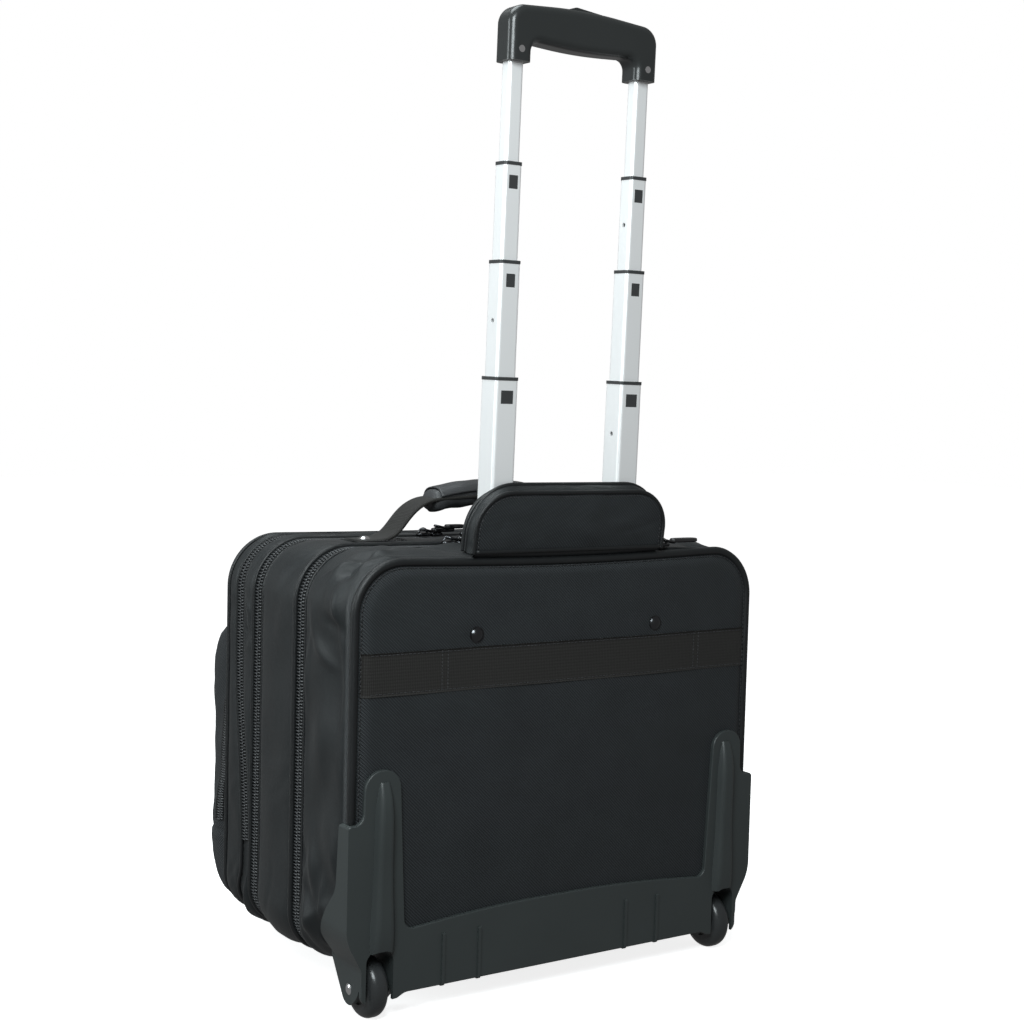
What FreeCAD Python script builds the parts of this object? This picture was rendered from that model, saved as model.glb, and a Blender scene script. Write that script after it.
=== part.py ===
import FreeCAD, Part

# Rolling laptop case: a soft three-section case on a moulded two-wheel base,
# with a four-stage telescopic handle, a fold-back handle hood and a carry handle.
#
# Millimetres. +X is the case's left as seen from its front, -Y is the front,
# +Z is up. Everything is drawn with y = 0 on the back panel's seam and z = 0 on
# the floor; write() then moves it so that the origin is under the middle of
# the whole object's box.

import math
import os

V = FreeCAD.Vector
X_AXIS, Y_AXIS, Z_AXIS = V(1, 0, 0), V(0, 1, 0), V(0, 0, 1)

# ---- driving dimensions ----------------------------------------------------

# case body
CASE_W = 450.0
CASE_BOTTOM = 50.0
CASE_TOP = 408.0
CASE_CORNER = 50.0
DROP_BOTTOM = 36.0                 # in front of the base moulding the fabric hangs lower
DROP_CORNER = 38.0
DROP_Y = -51.0
FABRIC = 3.0                       # foam-backed nylon
HALF = CASE_W / 2

# depths of the three sections and the stuffed front pocket, back to front
REAR_DEPTH = 95.0
LAPTOP_DEPTH = 91.0
ORGANIZER_DEPTH = 40.0
FLAP_DEPTH, FLAP_SKIN = 28.0, 3.5   # shallow front section behind the pocket, and its face
POCKET_DEPTH = 103.0               # from the front zip to the pocket's face
ZIP_W = 2.8                        # coil width left between two sections
ZIP_END_X = 150.0                  # where zips 1 and 2 stop along the bottom
CLEAR = 0.3                        # gap between bodies
Y_ZIP_1 = -REAR_DEPTH
Y_ZIP_2 = Y_ZIP_1 - LAPTOP_DEPTH
Y_ZIP_3 = Y_ZIP_2 - ORGANIZER_DEPTH
Y_FRONT = Y_ZIP_3 - POCKET_DEPTH

# back panel
PIPING_R = 4.0
PIPING_Y = 0.0
PANEL_FACE = 6.0                   # how far the padded panel stands out
PANEL_BACK = -1.0
BAND_Z = (288.0, 326.0)
BAND_END_X = HALF - 2 * PIPING_R - 1.0
BOARD_Y = (-50.5, -47.5)           # stiff board between the wheel base and the compartment
WELL_X, WELL_Y, WELL_TOP = 174.0, -46.5, 72.5   # corners given up to the wheel housings
RIVET_X, RIVET_Z, RIVET_R = 101.0, 336.5, 6.5
RIVET_DOME_R = 9.0

# telescopic handle, drawn upright round x = +-TUBE_X and leaned afterwards
HANDLE_LEAN = 1.7                  # degrees, backwards
HANDLE_Y = -18.4                   # tube centre line where it leaves the case
TUBE_X = 70.3
TUBE_WALL = 1.1
TUBE_CORNER = 3.0
TUBES = [                          # width, depth, bottom, top of each stage
    (27.0, 28.8, 64.0, 405.0),
    (24.0, 26.0, 343.0, 564.0),
    (21.0, 22.0, 513.0, 668.0),
    (18.0, 18.0, 613.0, 755.0),
    (15.0, 14.0, 709.0, 866.0),
]
COLLAR_H = 3.0
WINDOWS = {1: (13.0, 12.0), 2: (9.5, 12.0), 3: (9.5, 12.0)}
WINDOW_DROP = 18.0                 # window centre below the collar's top
LOCK_HOLE_R = 2.2
PLUG_H = 8.0
GUIDE_H = 3.0
RUN_FIT = 0.08                     # plug in the next tube out
BEZEL_HALF_W, BEZEL_Y = 88.0, (-35.0, -4.5)
BEZEL_BOTTOM, FLANGE_GROW, FLANGE_H = 405.6, 6.0, 3.0
BRACKET_HALF_W, BRACKET_Y, BRACKET_Z = 90.0, (-46.0, -12.0), (54.0, 60.0)
SOCKET_TOP = 79.0
SCREW_R, BRACKET_SCREW_R = 3.2, 3.6

# grip
GRIP_HALF_W, GRIP_DEPTH = 82.0, 28.0
GRIP_LEG_IN = 58.0
GRIP_LEG_Z, GRIP_UNDER_Z, GRIP_SEAM_Z = 845.6, 863.0, 882.0
GRIP_END_Z, GRIP_TOP_Z = 892.0, 897.0
GRIP_SCREW_R = 3.1
BAR_X, BAR_Z = 74.4, (872.0, 878.0)    # the cross bar under the button
BAR_HALF_D = 5.0
BUTTON_X = (-26.0, 17.0)
BUTTON_HALF_D = 7.5
BUTTON_TRAVEL = 4.0
ROD_R = 2.4
SPRING_R, SPRING_WIRE = 3.6, 0.6

# hood over the stowed handle
HOOD_HALF_W, HOOD_TOP, HOOD_CORNER = 107.5, 471.0, 45.0
HOOD_SIDE_IN, HOOD_TOP_IN, HOOD_DEEP = 3.0, 9.0, 10.5   # rear outline inside the front one
HOOD_LEAN = 8.0
HOOD_Y = 4.5
HOOD_SKIN = 2.0
EAR_DEPTH, EAR_INNER_X = 4.0, 92.0

# base moulding and wheels
WHEEL_X, WHEEL_Y, WHEEL_R, WHEEL_W = 195.0, -13.0, 27.5, 22.0
AXLE_R, AXLE_FIT = 3.0, 0.06
GUARD_FACE, GUARD_TOP, GUARD_STEP_Z = 10.0, 224.5, 178.5
RIDGE_X, RIDGE_PROUD = 193.2, 7.0
RIDGE_SECTIONS = [                 # height, half width at the root, share of its full rise
    (214, 6.5, 0.15), (205, 8.5, 0.6), (150, 11.5, 0.95), (100, 13.5, 1.0), (64, 14.8, 0.7)]
ARCH_HALF, ARCH_TOP = 13.5, 66.0
WING_X = 228.3
KICK_BOTTOM, KICK_TOP = 24.0, 88.5
RIB_X, RIB_TOP, RIB_HALF_W, RIB_PROUD = (131.0, 93.0, -73.0, -111.0), 71.5, 1.5, 1.6
CHEEK_OUT, CHEEK_IN = 213.0, 177.0
HUB_R, TYRE_SHOULDER_R = 15.0, 19.5

# carry handle
CARRY_Y = (Y_ZIP_1 + Y_ZIP_2) / 2
CARRY_X, CARRY_RISE = 105.0, 454.0
CARRY_GRIP_X, CARRY_GRIP_HALF_D = 68.0, 18.0
STRAP_HALF, STRAP_THICK = 18.0, 5.0
STUD_X, PATCH_X, PATCH_HALF = 137.0, 122.0, 26.0
PATCH_H = 2.4

# inside and in front
DIVIDER, SLEEVE_DEEP, SLEEVE_WALL = 3.5, 33.0, 4.0
SLEEVE_HALF_W, SLEEVE_TOP = 195.0, 330.0
ORGANIZER_WALL, ORGANIZER_POCKET_DEEP = 3.0, 14.0
ORGANIZER_POCKET_HALF_W, ORGANIZER_POCKET_TOP = 185.0, 250.0
ZIP_3_END_Z = 114.0                # where the front zip stops, above the flap's hinge
POCKET_HALF, POCKET_CORNER, POCKET_TOP, POCKET_LOW = 216.0, 28.0, 331.0, 38.0

# two blocks that the case leans on when it stands
FOOT_X, FOOT_Y, FOOT_H = 85.0, -166.0, DROP_BOTTOM - 0.2
FOOT_HALF_X, FOOT_BACK, FOOT_FRONT = 20.0, 12.0, 14.0

# zip pulls: node name, x, y, length of the pull
PULLERS = [("zip_1", 72.0, Y_ZIP_1, 34.0), ("zip_2", 46.0, Y_ZIP_2, 36.0), ("hood", -122.0, -12.0, 42.0)]
PULL_PIVOT, PULL_HALF_W, PULL_HALF_H = 5.9, 4.5, 1.2

ORIGIN_SHIFT = V(0, -(Y_FRONT + GUARD_FACE + RIDGE_PROUD) / 2, 0)


# ---- helpers ---------------------------------------------------------------

def box(x, y, z):
    """A box from three (low, high) pairs."""
    return Part.makeBox(x[1] - x[0], y[1] - y[0], z[1] - z[0], V(x[0], y[0], z[0]))


def rod(centre, radius, length, axis):
    """A cylinder with its middle at centre."""
    return Part.makeCylinder(radius, length, centre - axis * (length / 2), axis)


def place(plane, a, b, off):
    """A point of a flat outline: (a, b) in the plane, off along its normal."""
    return {"xz": V(a, off, b), "yz": V(off, a, b), "xy": V(a, b, off)}[plane]


def outline(plane, corners, off=0.0):
    """A closed wire through (a, b, radius) corners, rounded by tangent arcs."""
    points = [place(plane, a, b, off) for a, b, _ in corners]
    count = len(points)
    stops = []
    for i, (_, _, radius) in enumerate(corners):
        before = (points[i - 1] - points[i]).normalize()
        after = (points[(i + 1) % count] - points[i]).normalize()
        if radius == 0:
            stops.append((points[i], None, points[i]))
            continue
        half = before.getAngle(after) / 2
        reach = radius / math.tan(half)
        middle = (before + after).normalize()
        centre = points[i] + middle * (radius / math.sin(half))
        stops.append((points[i] + before * reach, centre - middle * radius,
                      points[i] + after * reach))
    edges = []
    for i, (start, mid, end) in enumerate(stops):
        if mid:
            edges.append(Part.Arc(start, mid, end).toShape())
        follow = stops[(i + 1) % count][0]
        if end.distanceToPoint(follow) > 1e-6:
            edges.append(Part.LineSegment(end, follow).toShape())
    return Part.Wire(edges)


def slab(plane, corners, low, high):
    """A flat outline pushed out from low to high along the plane's normal."""
    face = Part.Face(outline(plane, corners, low))
    return face.extrude(place(plane, 0, 0, high - low))


def case_corners(inset, bottom=CASE_BOTTOM, foot_radius=CASE_CORNER):
    """The case's own outline, drawn in by inset."""
    side, low, high = HALF - inset, bottom + inset, CASE_TOP - inset
    top_r, foot_r = CASE_CORNER - inset, foot_radius - inset
    return [(side, low, foot_r), (side, high, top_r), (-side, high, top_r), (-side, low, foot_r)]


def case_slab(inset, low, high):
    """A slice of the case over its base moulding."""
    return slab("xz", case_corners(inset), low, high)


def drop_slab(inset, low, high):
    """A slice of the case in front of its base moulding, where it hangs lower."""
    return slab("xz", case_corners(inset, DROP_BOTTOM, DROP_CORNER), low, high)


def drop_ring(outer, inner, low, high):
    return drop_slab(outer, low, high).cut(drop_slab(inner, low, high))


def tube_prism(width, depth, low, high, corner=TUBE_CORNER):
    """A rounded rectangular column round x = 0, y = 0."""
    w, d = width / 2, depth / 2
    return slab("xy", [(w, -d, corner), (w, d, corner), (-w, d, corner), (-w, -d, corner)], low, high)


def swept_tube(path, radius):
    """A round section along a closed wire."""
    start = path.Edges[0].valueAt(path.Edges[0].FirstParameter)
    tangent = path.Edges[0].tangentAt(path.Edges[0].FirstParameter)
    section = Part.Wire(Part.makeCircle(radius, start, tangent))
    return path.makePipeShell([section], True, False)


def both_sides(shape):
    """The shape and its mirror image across x = 0."""
    return [shape, shape.mirror(V(0, 0, 0), X_AXIS)]


def lean_handle(shape):
    """From the upright drawing at y = 0 to the handle's real line."""
    moved = shape.translated(V(0, HANDLE_Y, 0))
    return moved.rotate(V(0, HANDLE_Y, CASE_TOP), X_AXIS, -HANDLE_LEAN)


def lean_hood(shape):
    return shape.copy().rotate(V(0, HOOD_Y, CASE_TOP), X_AXIS, -HOOD_LEAN)


def write(name, *shapes):
    """Export one node: its solids, moved to the part's own origin."""
    solids = [solid for shape in shapes for solid in shape.Solids]
    moved = [solid.translated(ORIGIN_SHIFT) for solid in solids]
    node = moved[0] if len(moved) == 1 else Part.makeCompound(moved)
    node.exportStep("parts/" + name + ".step")


# ---- case body -------------------------------------------------------------

def wheel_wells():
    """The two corners that the rear section gives up to the wheel housings."""
    well = box((WELL_X, HALF + 1), (WELL_Y, 10), (CASE_BOTTOM - 1, WELL_TOP))
    return Part.makeCompound(both_sides(well))


def tube_slot():
    return box((-BEZEL_HALF_W, BEZEL_HALF_W), BEZEL_Y, (CASE_TOP - 20, CASE_TOP + 5))


def zip_coil(y, end_z, end_x):
    """A zip round the outline, left out along the bottom below end_z and within end_x."""
    coil = drop_ring(0.4, 2.6, y - ZIP_W / 2 + CLEAR, y + ZIP_W / 2)
    return coil.cut(box((-end_x, end_x), (y - ZIP_W, y + ZIP_W), (DROP_BOTTOM - 5, end_z)))


def rear_section():
    high = PIPING_Y - PIPING_R
    over_base = case_slab(0, DROP_Y, high).cut(case_slab(FABRIC, DROP_Y, high))
    step = drop_slab(0, DROP_Y - FABRIC, DROP_Y).cut(case_slab(FABRIC, DROP_Y - FABRIC, DROP_Y))
    gusset = drop_ring(0, FABRIC, Y_ZIP_1 + ZIP_W / 2, DROP_Y).fuse([step, over_base]).removeSplitter()
    write("rear_gusset", gusset.cut(wheel_wells()).cut(tube_slot()))
    panel = case_slab(2 * PIPING_R, PANEL_BACK, PANEL_FACE)
    rim = [edge for edge in panel.Edges if edge.CenterOfMass.y > PANEL_FACE - 0.01]
    write("back_panel", panel.makeFillet(3.0, rim).cut(wheel_wells()))
    piping = swept_tube(outline("xz", case_corners(PIPING_R), PIPING_Y), PIPING_R)
    write("back_piping", piping.cut(wheel_wells()))
    write("back_band", box((-BAND_END_X, BAND_END_X), (PANEL_FACE, PANEL_FACE + 1.6), BAND_Z))
    board = case_slab(FABRIC, *BOARD_Y)
    write("lining_board", board.cut(wheel_wells()))
    write("zip_1_coil", zip_coil(Y_ZIP_1, DROP_BOTTOM + 20, ZIP_END_X))


def panel_rivets():
    heads = []
    for x in (-RIVET_X, RIVET_X):
        dome = Part.makeSphere(RIVET_DOME_R, V(x, PANEL_FACE - 4.8, RIVET_Z))
        dome = dome.common(rod(V(x, PANEL_FACE + 3.0, RIVET_Z), RIVET_R, 6.0, Y_AXIS))
        rim = rod(V(x, PANEL_FACE + 0.4, RIVET_Z), RIVET_R + 1.0, 0.8, Y_AXIS)
        heads.append(dome.fuse(rim).removeSplitter())
    write("panel_rivets", *heads)


# ---- telescopic handle -----------------------------------------------------

def lock_z(stage):
    """Height of the catch that holds this stage in the next one out."""
    return TUBES[stage][2] + PLUG_H / 2


def tube(stage):
    """One extruded tube with its catch holes and its collar window."""
    width, depth, low, high = TUBES[stage]
    bore_w, bore_d = width - 2 * TUBE_WALL, depth - 2 * TUBE_WALL
    body = tube_prism(width, depth, low, high)
    body = body.cut(tube_prism(bore_w, bore_d, low, high, TUBE_CORNER - TUBE_WALL))
    own = inner_side(stage)
    if stage > 0:
        body = body.cut(rod(V(own * width / 2, 0, lock_z(stage)), LOCK_HOLE_R, 8, X_AXIS))
    if stage < len(TUBES) - 1:
        other = inner_side(stage + 1)
        body = body.cut(rod(V(other * width / 2, 0, lock_z(stage + 1)), LOCK_HOLE_R, 8, X_AXIS))
    if stage in WINDOWS:
        body = body.cut(window(stage, 0.0, 5.0))
    return body


def inner_side(stage):
    """-1 where a stage's catch faces the other tube, +1 where it faces out."""
    return 1 if stage == 3 else -1


def window(stage, grow, thick):
    wide, tall = WINDOWS[stage]
    depth, middle = TUBES[stage][1] / 2, TUBES[stage][3] + COLLAR_H - WINDOW_DROP
    return box((-wide / 2 - grow, wide / 2 + grow), (depth - thick, depth + thick),
               (middle - tall / 2 - grow, middle + tall / 2 + grow))


def collar(stage):
    """The moulded ring on a tube's top, and the lug that clips into its window."""
    width, depth, _, high = TUBES[stage]
    next_w, next_d = TUBES[stage + 1][0], TUBES[stage + 1][1]
    ring = tube_prism(width + 0.8, depth + 0.8, high, high + COLLAR_H)
    throat = tube_prism(next_w + 2 * RUN_FIT, next_d + 2 * RUN_FIT, high - 40, high + 10, TUBE_CORNER)
    wide, tall = WINDOWS[stage]
    middle = high + COLLAR_H - WINDOW_DROP
    bore_y = depth / 2 - TUBE_WALL
    tongue = box((-wide / 2, wide / 2), (bore_y - 0.5, bore_y), (middle - tall / 2, high))
    lug = box((-wide / 2, wide / 2), (bore_y - 0.5, depth / 2 - 0.2),
              (middle - tall / 2, middle + tall / 2))
    return ring.fuse([tongue, lug]).cut(throat).removeSplitter()


def plug(stage):
    """The foot in a tube's lower end: a guide, a body in the bore and its catch."""
    width, depth, low, _ = TUBES[stage]
    out_w, out_d = TUBES[stage - 1][0] - 2 * TUBE_WALL, TUBES[stage - 1][1] - 2 * TUBE_WALL
    guide = tube_prism(out_w - 2 * RUN_FIT, out_d - 2 * RUN_FIT, low - GUIDE_H, low, TUBE_CORNER - 1)
    bore_w, bore_d = width - 2 * TUBE_WALL, depth - 2 * TUBE_WALL
    body = tube_prism(bore_w, bore_d, low, low + PLUG_H, TUBE_CORNER - TUBE_WALL)
    side = inner_side(stage)
    pin_len = width / 2
    pin = rod(V(side * pin_len / 2, 0, lock_z(stage)), LOCK_HOLE_R - 0.1, pin_len, X_AXIS)
    return [guide.fuse(body).removeSplitter().cut(pin), pin]


def on_both_tubes(shape):
    """Place a part drawn round x = 0 on the two tubes, mirrored, and lean it."""
    right = shape.translated(V(TUBE_X, 0, 0))
    return [lean_handle(side) for side in both_sides(right)]


def handle_stages():
    for stage in range(len(TUBES)):
        left, right = on_both_tubes(tube(stage))
        base = "outer_tube" if stage == 0 else "stage_%d_tube" % stage
        write(base + "_left", left)
        write(base + "_right", right)
        if stage > 0:
            write("stage_%d_plugs" % stage, *[side for piece in plug(stage) for side in on_both_tubes(piece)])
        if stage in WINDOWS:
            write("stage_%d_collars" % stage, *on_both_tubes(collar(stage)))


def bezel_corners(grow, radius):
    side, (front, back) = BEZEL_HALF_W + grow, BEZEL_Y
    front, back = front - grow * 5 / 6, back + grow * 0.65
    return [(side, front, radius), (side, back, radius), (-side, back, radius), (-side, front, radius)]


def tube_mounting():
    """The bezel at the case's top, the bracket at the tubes' feet, and their screws."""
    bezel = slab("xy", bezel_corners(0, 6), BEZEL_BOTTOM, CASE_TOP)
    flange = slab("xy", bezel_corners(FLANGE_GROW, 9), CASE_TOP, CASE_TOP + FLANGE_H)
    width, depth = TUBES[1][0], TUBES[1][1]
    holes = on_both_tubes(tube_prism(width + 0.7, depth + 0.7, BEZEL_BOTTOM - 25, CASE_TOP + 25))
    write("tube_bezel", bezel.fuse(flange).removeSplitter().cut(Part.makeCompound(holes)))
    foot = box((-BRACKET_HALF_W, BRACKET_HALF_W), BRACKET_Y, BRACKET_Z)
    outer_w, outer_d, outer_low, _ = TUBES[0]
    sockets = on_both_tubes(tube_prism(outer_w + 6, outer_d + 4, BRACKET_Z[1] - 2, SOCKET_TOP + 1))
    bores = on_both_tubes(tube_prism(outer_w + 0.1, outer_d + 0.1, outer_low, SOCKET_TOP + 11))
    room = box((-BRACKET_HALF_W - 5, BRACKET_HALF_W + 5), (BRACKET_Y[0] - 1.3, -6), (CASE_BOTTOM, SOCKET_TOP))
    sockets = Part.makeCompound(sockets).common(room)
    bracket = foot.fuse(sockets.Solids).removeSplitter().cut(Part.makeCompound(bores))
    write("tube_bracket", bracket)
    screws = [rod(V(x, -20, CASE_TOP + FLANGE_H + 0.6), SCREW_R, 1.2, Z_AXIS) for x in (-35, 35)]
    screws += [rod(V(x, -29, BRACKET_Z[1] + 0.8), BRACKET_SCREW_R, 1.6, Z_AXIS) for x in (-40, 40)]
    write("frame_screws", *screws)


# ---- grip and release button -----------------------------------------------

def grip_blank():
    """The U-shaped grip as one solid, before it is hollowed and split."""
    end, inner = GRIP_HALF_W, GRIP_LEG_IN
    half = [(end, GRIP_LEG_Z, 0), (end, GRIP_END_Z + 2, 17), (0, GRIP_TOP_Z + 3, 500)]
    under = [(-inner, GRIP_LEG_Z, 0), (-inner, GRIP_UNDER_Z + 1.5, 9), (0, GRIP_UNDER_Z - 2, 500),
             (inner, GRIP_UNDER_Z + 1.5, 9), (inner, GRIP_LEG_Z, 0)]
    other = [(-end, GRIP_END_Z + 2, 17), (-end, GRIP_LEG_Z, 0)]
    blank = slab("xz", half + other + under, -GRIP_DEPTH / 2, GRIP_DEPTH / 2)
    soft = [edge for edge in blank.Edges
            if abs(abs(edge.CenterOfMass.y) - GRIP_DEPTH / 2) < 0.01 and edge.CenterOfMass.z > GRIP_LEG_Z + 1]
    return blank.makeFillet(7.0, soft)


def below_seam():
    """Everything under the line where the grip's two shells meet."""
    drop = GRIP_SEAM_Z - 9
    corners = [(100, 830, 0), (100, drop, 0), (72, drop, 8), (60, GRIP_SEAM_Z, 8),
               (-60, GRIP_SEAM_Z, 8), (-72, drop, 8), (-100, drop, 0), (-100, 830, 0)]
    return slab("xz", corners, -30, 30)


def button_profile(grow):
    """The button's hump: steep at one end, running out at the other."""
    low, high = BUTTON_X[0] - grow, BUTTON_X[1] + grow
    if grow:
        corners = [(high, 876, 0), (high, 910, 0), (low, 910, 0), (low, 876, 0)]
    else:
        corners = [(high, 879, 0), (high, GRIP_TOP_Z + 1.5, 1.5), (high - 8, GRIP_TOP_Z + 4.2, 8),
                   (low, GRIP_TOP_Z + 0.8, 1.5), (low, 879, 0)]
    reach = BUTTON_HALF_D + grow
    return slab("xz", corners, -reach, reach)


def grip_parts():
    blank = grip_blank()
    cavity = box((-75, 75), (-8.5, 8.5), (TUBES[4][3] - 0.1, 880))
    sockets = both_sides(tube_prism(TUBES[4][0], TUBES[4][1], 840, TUBES[4][3]).translated(V(TUBE_X, 0, 0)))
    shell = blank.cut(cavity).cut(Part.makeCompound(sockets)).cut(button_profile(0.4))
    screw_z = GRIP_LEG_Z + 10
    heads = [rod(V(x, GRIP_DEPTH / 2 - 0.6, screw_z), GRIP_SCREW_R, 1.4, Y_AXIS) for x in (-TUBE_X, TUBE_X)]
    shell = shell.cut(Part.makeCompound(heads))
    lower = below_seam()
    write("grip_lower", lean_handle(shell.common(lower)))
    write("grip_upper", lean_handle(shell.cut(lower)))
    write("grip_screws", *[lean_handle(head) for head in heads])
    bar_low, bar_high = BAR_Z
    stem = box((-8, 8), (-BAR_HALF_D, BAR_HALF_D), (bar_high, bar_high + 2))
    write("release_button", lean_handle(button_profile(0).fuse(stem).removeSplitter()))
    bar = box((-BAR_X, BAR_X), (-BAR_HALF_D, BAR_HALF_D), BAR_Z)
    foot_z = TUBES[4][2] + PLUG_H + BUTTON_TRAVEL + 0.5
    rods = [Part.makeCylinder(ROD_R, bar_low - foot_z, V(x, 0, foot_z)) for x in (-TUBE_X, TUBE_X)]
    write("release_rods", lean_handle(bar), *[lean_handle(part) for part in rods])
    floor = TUBES[4][3] - 0.1
    length = bar_low - floor - 2 * SPRING_WIRE
    helix = Part.makeHelix(length / 2, length, SPRING_R)
    wire = Part.Wire(Part.makeCircle(SPRING_WIRE, V(SPRING_R, 0, 0), Y_AXIS))
    coil = Part.Wire(helix.Edges).makePipeShell([wire], True, True)
    write("button_spring", lean_handle(coil.translated(V(0, 0, floor + SPRING_WIRE))))


# ---- hood ------------------------------------------------------------------

def hood_corners(side_in, top_in, radius):
    side, top, low = HOOD_HALF_W - side_in, HOOD_TOP - top_in, CASE_TOP + CLEAR
    return [(side, low, 0), (side, top, radius), (-side, top, radius), (-side, low, 0)]


def hood():
    """A stiffened fabric cap: rear panel, sloping top gusset and two side ears."""
    edge = HOOD_Y - HOOD_DEEP

    def dome(inset):
        rear = hood_corners(HOOD_SIDE_IN + inset, HOOD_TOP_IN + inset, HOOD_CORNER - HOOD_TOP_IN)
        rear = outline("xz", rear, HOOD_Y - inset)
        front = outline("xz", hood_corners(inset, inset, HOOD_CORNER), edge)
        return Part.makeLoft([rear, front], True, True)

    ears = slab("xz", hood_corners(0, 0, HOOD_CORNER), edge - EAR_DEPTH, edge)
    inside = hood_corners(HOOD_SKIN, HOOD_SKIN, HOOD_CORNER - HOOD_SKIN)
    inner = slab("xz", inside, edge - EAR_DEPTH - 1, edge)
    mouth = box((HOOD_SKIN - HOOD_HALF_W, HOOD_HALF_W - HOOD_SKIN), (edge, HOOD_Y - HOOD_SKIN),
                (CASE_TOP, CASE_TOP + CLEAR + HOOD_SKIN + 0.1))
    between = box((-EAR_INNER_X, EAR_INNER_X), (edge - EAR_DEPTH - 1, edge), (CASE_TOP, HOOD_TOP + 10))
    shell = dome(0).cut(dome(HOOD_SKIN)).cut(mouth).fuse(ears.cut(inner).cut(between))
    write("hood_shell", lean_hood(shell.removeSplitter()))


# ---- base moulding, wheels and feet ----------------------------------------

def half_rear_outline():
    """Kick plate and guard seen from behind, for x >= 0."""
    return [(0, KICK_BOTTOM, 0), (0, KICK_TOP, 0), (75, KICK_TOP, 1300), (170.4, KICK_TOP - 8.5, 9),
            (177.6, GUARD_TOP, 17.3), (212.4, GUARD_TOP, 17.3), (213.5, GUARD_STEP_Z, 9),
            (WING_X, GUARD_STEP_Z, 3),
            (WING_X, 78, 40), (CHEEK_OUT, 50, 12), (CHEEK_OUT, 18, 9), (CHEEK_IN, 20, 5),
            (CHEEK_IN - 8, KICK_BOTTOM, 12)]


def ridge():
    """The raised spine that grows from the guard's tip to the wheel arch."""
    sections = []
    for z, root, rise in RIDGE_SECTIONS:
        face, crest = GUARD_FACE + rise * RIDGE_PROUD, root * 0.55
        sections.append(outline("xy", [
            (RIDGE_X - root, PANEL_FACE + 1, 0), (RIDGE_X - crest, face, crest * 0.8),
            (RIDGE_X + crest, face, crest * 0.8), (RIDGE_X + root, PANEL_FACE + 1, 0)], z))
    return Part.makeLoft(sections, True, False)


def wing_profile():
    """The side wing seen from the side, (y, z)."""
    return [(GUARD_FACE, GUARD_STEP_Z, 3), (-8, GUARD_STEP_Z, 4),
            (-12, 118, 25), (-31, 96, 20), (-48, 66, 10),
            (-36, 50, 6), (-30, 40, 8), (GUARD_FACE, 22, 12)]


def housing():
    """The wheel housing under the case's corner with its two fork cheeks, and its arch."""
    face = GUARD_FACE - 0.5
    block = slab("yz", [(-46, 72, 6), (face, 72, 0), (face - 1, 62, 10), (face - 5, 48, 12),
                        (face - 4.5, 27, 14), (WHEEL_Y + 4, 13.5, 10), (WHEEL_Y - 8, 13.5, 12),
                        (-46, 50, 10)], CHEEK_IN, CHEEK_OUT)
    near, far = WHEEL_X - ARCH_HALF, WHEEL_X + ARCH_HALF
    arch = slab("xz", [(near, -5, 0), (near, ARCH_TOP, 11), (far, ARCH_TOP, 11), (far, -5, 0)], -44, 40)
    return block, arch


def base_moulding():
    """One moulding: kick plate, guards, wings, floor and wheel housings."""
    root = PANEL_FACE + CLEAR / 2
    plate = slab("xz", half_rear_outline(), root, GUARD_FACE)
    rim = [edge for edge in plate.Edges
           if edge.CenterOfMass.y > GUARD_FACE - 0.01 and edge.CenterOfMass.x > 1]
    plate = plate.makeFillet(1.2, rim)
    block, arch = housing()
    wing = slab("yz", wing_profile(), HALF + CLEAR / 2, WING_X)
    corner = slab("yz", wing_profile(), CHEEK_IN, WING_X - 0.5)
    foot = slab("xz", half_rear_outline(), -60, GUARD_FACE)
    wing = wing.common(foot)
    corner = corner.common(foot).cut(case_slab(-CLEAR / 2, -100, root))
    half = plate.fuse([ridge(), wing, corner, block]).cut(arch)
    floor = box((0, CHEEK_IN + 2), (DROP_Y + CLEAR, GUARD_FACE - 2),
                (CASE_BOTTOM - 3.4, CASE_BOTTOM - CLEAR / 2))
    half = half.fuse(floor)
    inside = box((-5, WING_X + 5), (-60, PANEL_FACE), (72.2, 300))
    half = half.cut(inside.common(case_slab(-CLEAR / 2, -100, PANEL_FACE)))
    bore = rod(V(WHEEL_X, WHEEL_Y, WHEEL_R), AXLE_R, 80, X_AXIS)
    half = half.cut(bore).removeSplitter()
    ribs = []
    for x in RIB_X:
        crest = GUARD_FACE + RIB_PROUD
        ribs.append(slab("yz", [(root, KICK_BOTTOM - 1, 0), (root, RIB_TOP, 0), (crest, RIB_TOP, 1.4),
                                (crest, KICK_BOTTOM - 1, 3)], x - RIB_HALF_W, x + RIB_HALF_W))
    whole = half.fuse([half.mirror(V(0, 0, 0), X_AXIS)] + ribs).removeSplitter()
    write("base_moulding", whole)


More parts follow.
